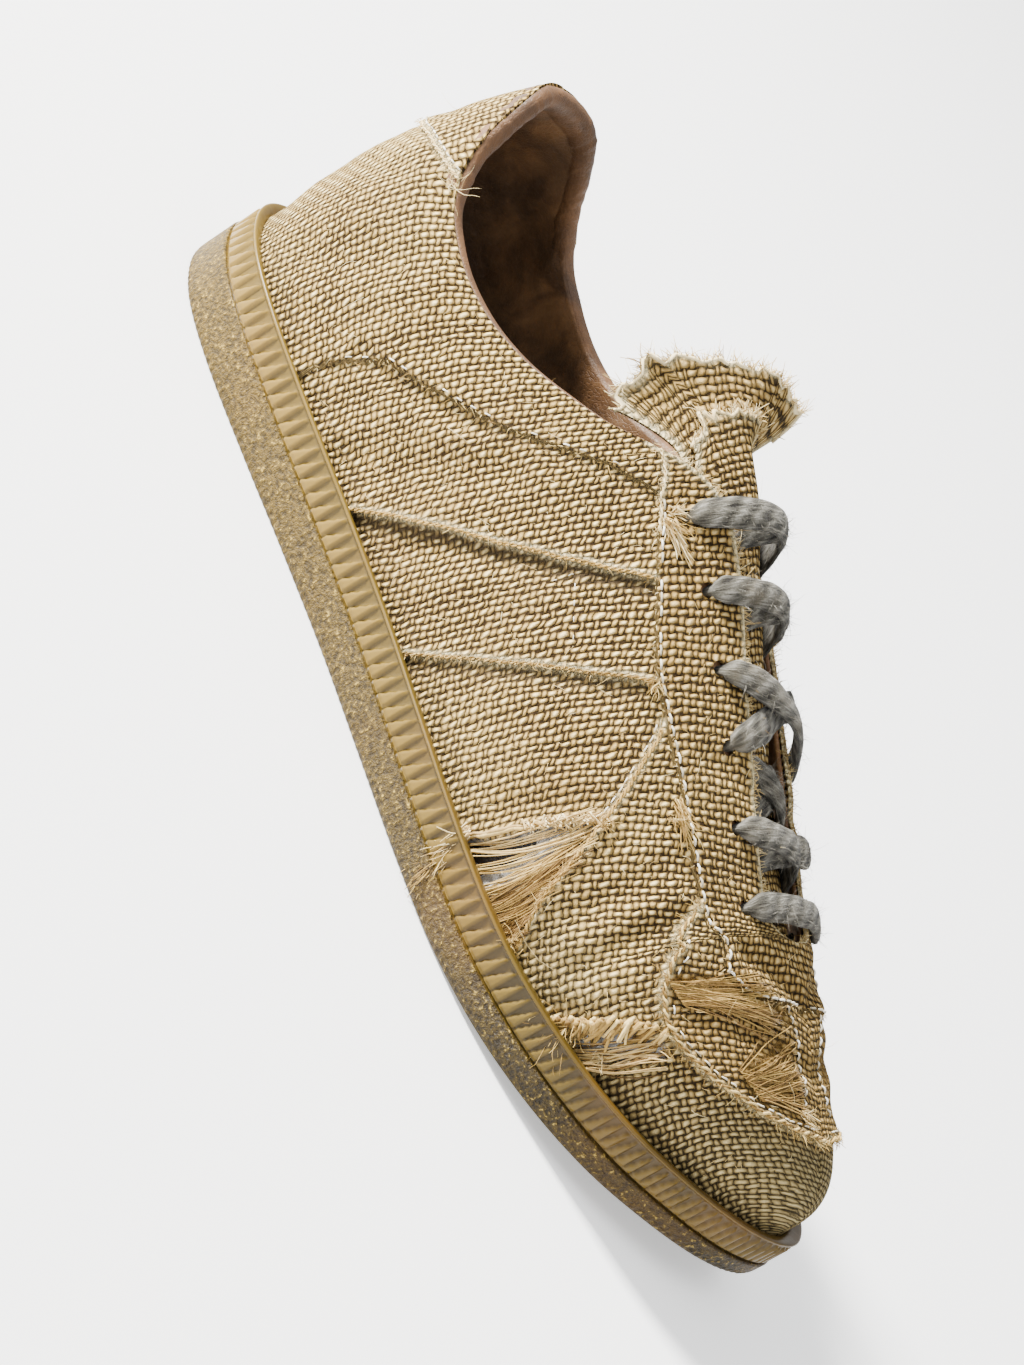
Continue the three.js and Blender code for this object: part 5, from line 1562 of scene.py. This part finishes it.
SPANS = [      # count, ends of the start line and of the end line in the chart,
               # radius, bow, lift, collection, rise, looseness, shades
    (9, (0.650, 0.06), (0.657, 0.03), (0.680, 0.455), (0.686, 0.44),
     0.24, 0.010, 0.7, pale_fringe, 0.6, 0.006, (0.0, 0.6)),
    (10, (0.668, 0.04), (0.676, 0.02), (0.684, 0.45), (0.692, 0.42),
     0.20, 0.010, 0.6, cords, 0.4, 0.006, (0.4, 1)),
    (14, (0.684, 0.02), (0.696, 0.01), (0.690, 0.43), (0.702, 0.37),
     0.20, 0.009, 0.5, cords, 0.3, 0.006, (0.3, 0.9)),
    (150, (0.696, 0.0), (0.744, 0.0), (0.698, 0.41), (0.746, 0.06),
     0.17, 0.004, 0.2, spans, 0.4, 0.006, (0.0, 0.9)),
    (26, (0.700, 0.0), (0.742, 0.0), (0.702, 0.40), (0.744, 0.08),
     0.13, 0.006, 0.5, fringe, 0.5, 0.010, (0.1, 0.6)),
    (16, (0.828, 0.05), (0.850, 0.03), (0.857, 0.315), (0.874, 0.28),
     0.26, 0.005, 0.5, pale_fringe, 0.9, 0.006, (0.0, 0.5)),
    (16, (0.832, 0.04), (0.852, 0.05), (0.862, 0.31), (0.872, 0.27),
     0.18, 0.007, 0.3, spans, 0.7, 0.006, (0, 1)),
    (40, (0.820, 0.40), (0.842, 0.42), (0.842, 0.74), (0.862, 0.80),
     0.15, 0.003, 0.2, cords, 0.2, 0.014, (0.0, 0.7)),
    (30, (0.820, 0.40), (0.842, 0.42), (0.842, 0.74), (0.862, 0.80),
     0.11, 0.004, 0.3, spans, 0.3, 0.016, (0.2, 1)),
    (34, (0.896, 0.52), (0.921, 0.58), (0.880, 0.86), (0.912, 0.88),
     0.15, 0.002, 0.2, cords, 0.2, 0.014, (0.0, 0.7)),
    (24, (0.896, 0.52), (0.921, 0.58), (0.880, 0.86), (0.912, 0.88),
     0.11, 0.003, 0.3, spans, 0.3, 0.016, (0.2, 1))]
for row in SPANS:
    spanning(*row)


def stub_row(table, count, length, radius, lean, target, out=0.35, stray=0.14):
    """Thick cut yarn ends in a row on the low side of a line, slanting along it by a lean."""
    share, way = along_seam(skin, "", 0.2, 0.4, table=table)
    pick = np.linspace(0, len(share) - 1, count).astype(int)
    place, normal, ahead, above = frame_at(skin, share[pick], way[pick], 0.5)
    direction = 0.6 * ahead + above * lean + normal * out + random_ways(count, stray)
    size = length * chance.uniform(0.65, 1.2, count)
    for _ in range(4):
        root = place + 0.42 * random_ways(count)
        target.add(fibre_paths(root - unit(direction) * 1.2, direction + random_ways(count, 0.08), size + 1.2,
                               random_ways(count, 0.12) - normal * 0.15, steps=7), radius, taper=0.45,
                               sides=6)


FRINGE_TOP = [(0.643, 0.02), (0.655, 0.13), (0.668, 0.26), (0.682, 0.42), (0.687, 0.47)]
STUB_TOP = [(0.812, 0.03), (0.820, 0.09), (0.832, 0.17), (0.845, 0.25), (0.858, 0.325)]
stub_row(FRINGE_TOP[2:], 26, 1.7, 0.30, 0.3, pale_fringe, out=0.6, stray=0.45)
for shift, target in ((0.2, cords), (0.75, pale_fringe)):
    share, way = along_seam(skin, "", 0.5, shift, table=FRINGE_TOP)
    place, normal, _, _ = frame_at(skin, share, way, 0.35)
    path = place + 0.45 * np.stack([lattice_noise(place, 2.4, 67 + k) for k in range(3)], -1)
    target.add(path[None], (0.52 * (1 + 0.35 * lattice_noise(place, 2.0, 66)))[None], taper=0.1, sides=6)
stub_row(STUB_TOP, 16, 5.6, 0.66, -1.25, cords, out=0.30)
stub_row(STUB_TOP, 12, 4.4, 0.50, -1.0, cords, out=0.45, stray=0.25)


def tuft(share, way, count, length, lean, radius, target, spread, curl, side):
    """A tuft: many fibres from nearly one place, leaning along, up and out by the three numbers of `lean`."""
    place, normal, ahead, above = (v[0] for v in frame_at(skins[side], np.array([share]), np.array([way])))
    direction = ahead * lean[0] + above * lean[1] + normal * lean[2]
    root = place + 0.7 * random_ways(count)
    size = length * np.minimum(chance.lognormal(0, 0.35, count), 1.4)
    paths = fibre_paths(root, direction + random_ways(count, spread), size, random_ways(count, curl), 8,
                        0.3 * curl)
    paths[..., 2] = np.maximum(paths[..., 2], 0.4)          # nothing hangs below the ground
    target.add(paths, chance.uniform(0.6, 1.3, count) * radius)


TUFTS = [      # station, way up, count, length, lean, radius, collection, spread, curl, side
    (0.642, 0.06, 170, 12.0, (0.57, -0.95, 0.30), 0.22, cords, 0.10, 0.10, OUTER),
    (0.643, 0.08, 110, 8.5, (0.50, -0.8, 0.35), 0.20, pale_fringe, 0.15, 0.14, OUTER),
    (0.824, 0.10, 150, 6.0, (0.8, -0.6, 0.5), 0.22, cords, 0.45, 0.3, OUTER),
    (0.822, 0.11, 60, 8, (0.4, -1.0, 0.7), 0.10, cords, 0.55, 0.3, OUTER),
    (0.852, 0.12, 60, 3.2, (0.5, -0.6, 0.35), 0.13, pale_fringe, 0.4, 0.3, OUTER),
    (0.690, 0.700, 60, 7.5, (1.0, -0.05, 0.22), 0.17, cords, 0.16, 0.16, OUTER),
    (0.700, 0.66, 24, 3.5, (0.7, 0.3, 0.3), 0.12, cords, 0.45, 0.3, OUTER),
    (0.462, 0.86, 40, 2.6, (0.3, 0.6, 0.4), 0.13, pale_fringe, 0.35, 0.2, OUTER),
    (0.470, 0.835, 34, 7.5, (1.0, -0.10, 0.10), 0.30, pale_fringe, 0.07, 0.08, OUTER),
    (0.468, 0.83, 26, 5.5, (0.9, 0.35, 0.20), 0.22, cords, 0.10, 0.12, OUTER),
    (0.592, 0.70, 46, 3.2, (0.4, -0.4, 0.6), 0.13, cords, 0.45, 0.3, OUTER),
    (0.114, 0.97, 22, 5.5, (0.6, 0.4, 0.6), 0.08, pale_fringe, 0.45, 0.3, OUTER),
    (0.742, 0.09, 44, 4.2, (0.5, -0.5, 0.5), 0.13, cords, 0.45, 0.3, OUTER),
    (0.690, 0.45, 34, 4.0, (0.3, 0.5, 0.4), 0.12, cords, 0.45, 0.3, OUTER),
    (0.868, 0.31, 26, 3.4, (0.5, 0.3, 0.5), 0.11, cords, 0.45, 0.3, OUTER),
    (0.931, 0.83, 30, 3.4, (0.7, 0.2, 0.6), 0.12, pale_fringe, 0.45, 0.3, OUTER),
    (0.750, 0.60, 24, 3.0, (0.3, -0.3, 0.5), 0.10, cords, 0.45, 0.3, INNER),
    (0.700, 0.25, 60, 3.6, (0.3, -0.3, 0.5), 0.12, cords, 0.45, 0.3, INNER),
    (0.830, 0.30, 50, 3.6, (0.3, -0.3, 0.5), 0.12, cords, 0.45, 0.3, INNER)]
for row in TUFTS:
    tuft(*row)

# %% Stray hairs
hairs, fuzz = Fibres(), Fibres()
for side, skin in skins.items():
    count = 620
    share, way = chance.uniform(0.01, 0.97, count), chance.uniform(0.13, 0.99, count)
    place, normal, ahead, above = frame_at(skin, share, way)
    direction = normal * chance.uniform(0.05, 0.8, (count, 1)) + ahead * chance.normal(0, 0.8, (count, 1)) + above * chance.normal(0, 0.8, (count, 1))
    hairs.add(fibre_paths(place, direction, chance.lognormal(0.75, 0.45, count),
                          random_ways(count, 0.5) - normal * 0.3),
              0.055, sides=4)
for k in range(len(RUNS)):
    count = 110
    at = chance.integers(5, LACE_STEPS - 5, count)
    place, normal = middle[k, at], normals[k, at]
    across = np.cross(normal, unit(np.gradient(middle[k], axis=0))[at])
    where = chance.uniform(-1, 1, (count, 1))
    root = place + across * where * LACE_HALF * 0.95 + normal * LACE_THICK * np.sqrt(1 - 0.9 * where ** 2)
    direction = across * where + normal * 0.5 + random_ways(count, 0.6)
    fuzz.add(fibre_paths(root, direction, chance.lognormal(0.35, 0.45, count), random_ways(count, 0.5)), 0.05,
             shade=(0.2, 0.9))

cords.piece("raw_edge_cords", JUTE, "hessian")
fringe.piece("raw_edge_fringe", JUTE, "hessian")
pale_fringe.piece("bleached_fringe", BLEACHED, "hessian")
spans.piece("bare_yarns", TAWNY, "hessian")
hairs.piece("stray_hairs", BLEACHED, "hessian")
fuzz.piece("lace_hairs", LACE_FUZZ, "lace")

# %% [markdown]
# ## Size
# The finished shoe's box is set beside the pack's, so that the two can be compared. Fabric may stand
# proud of the pack by a few per cent and no more.

# %% Size
{"cad": CAD_BOX, "visual": [list(corner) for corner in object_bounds()]}
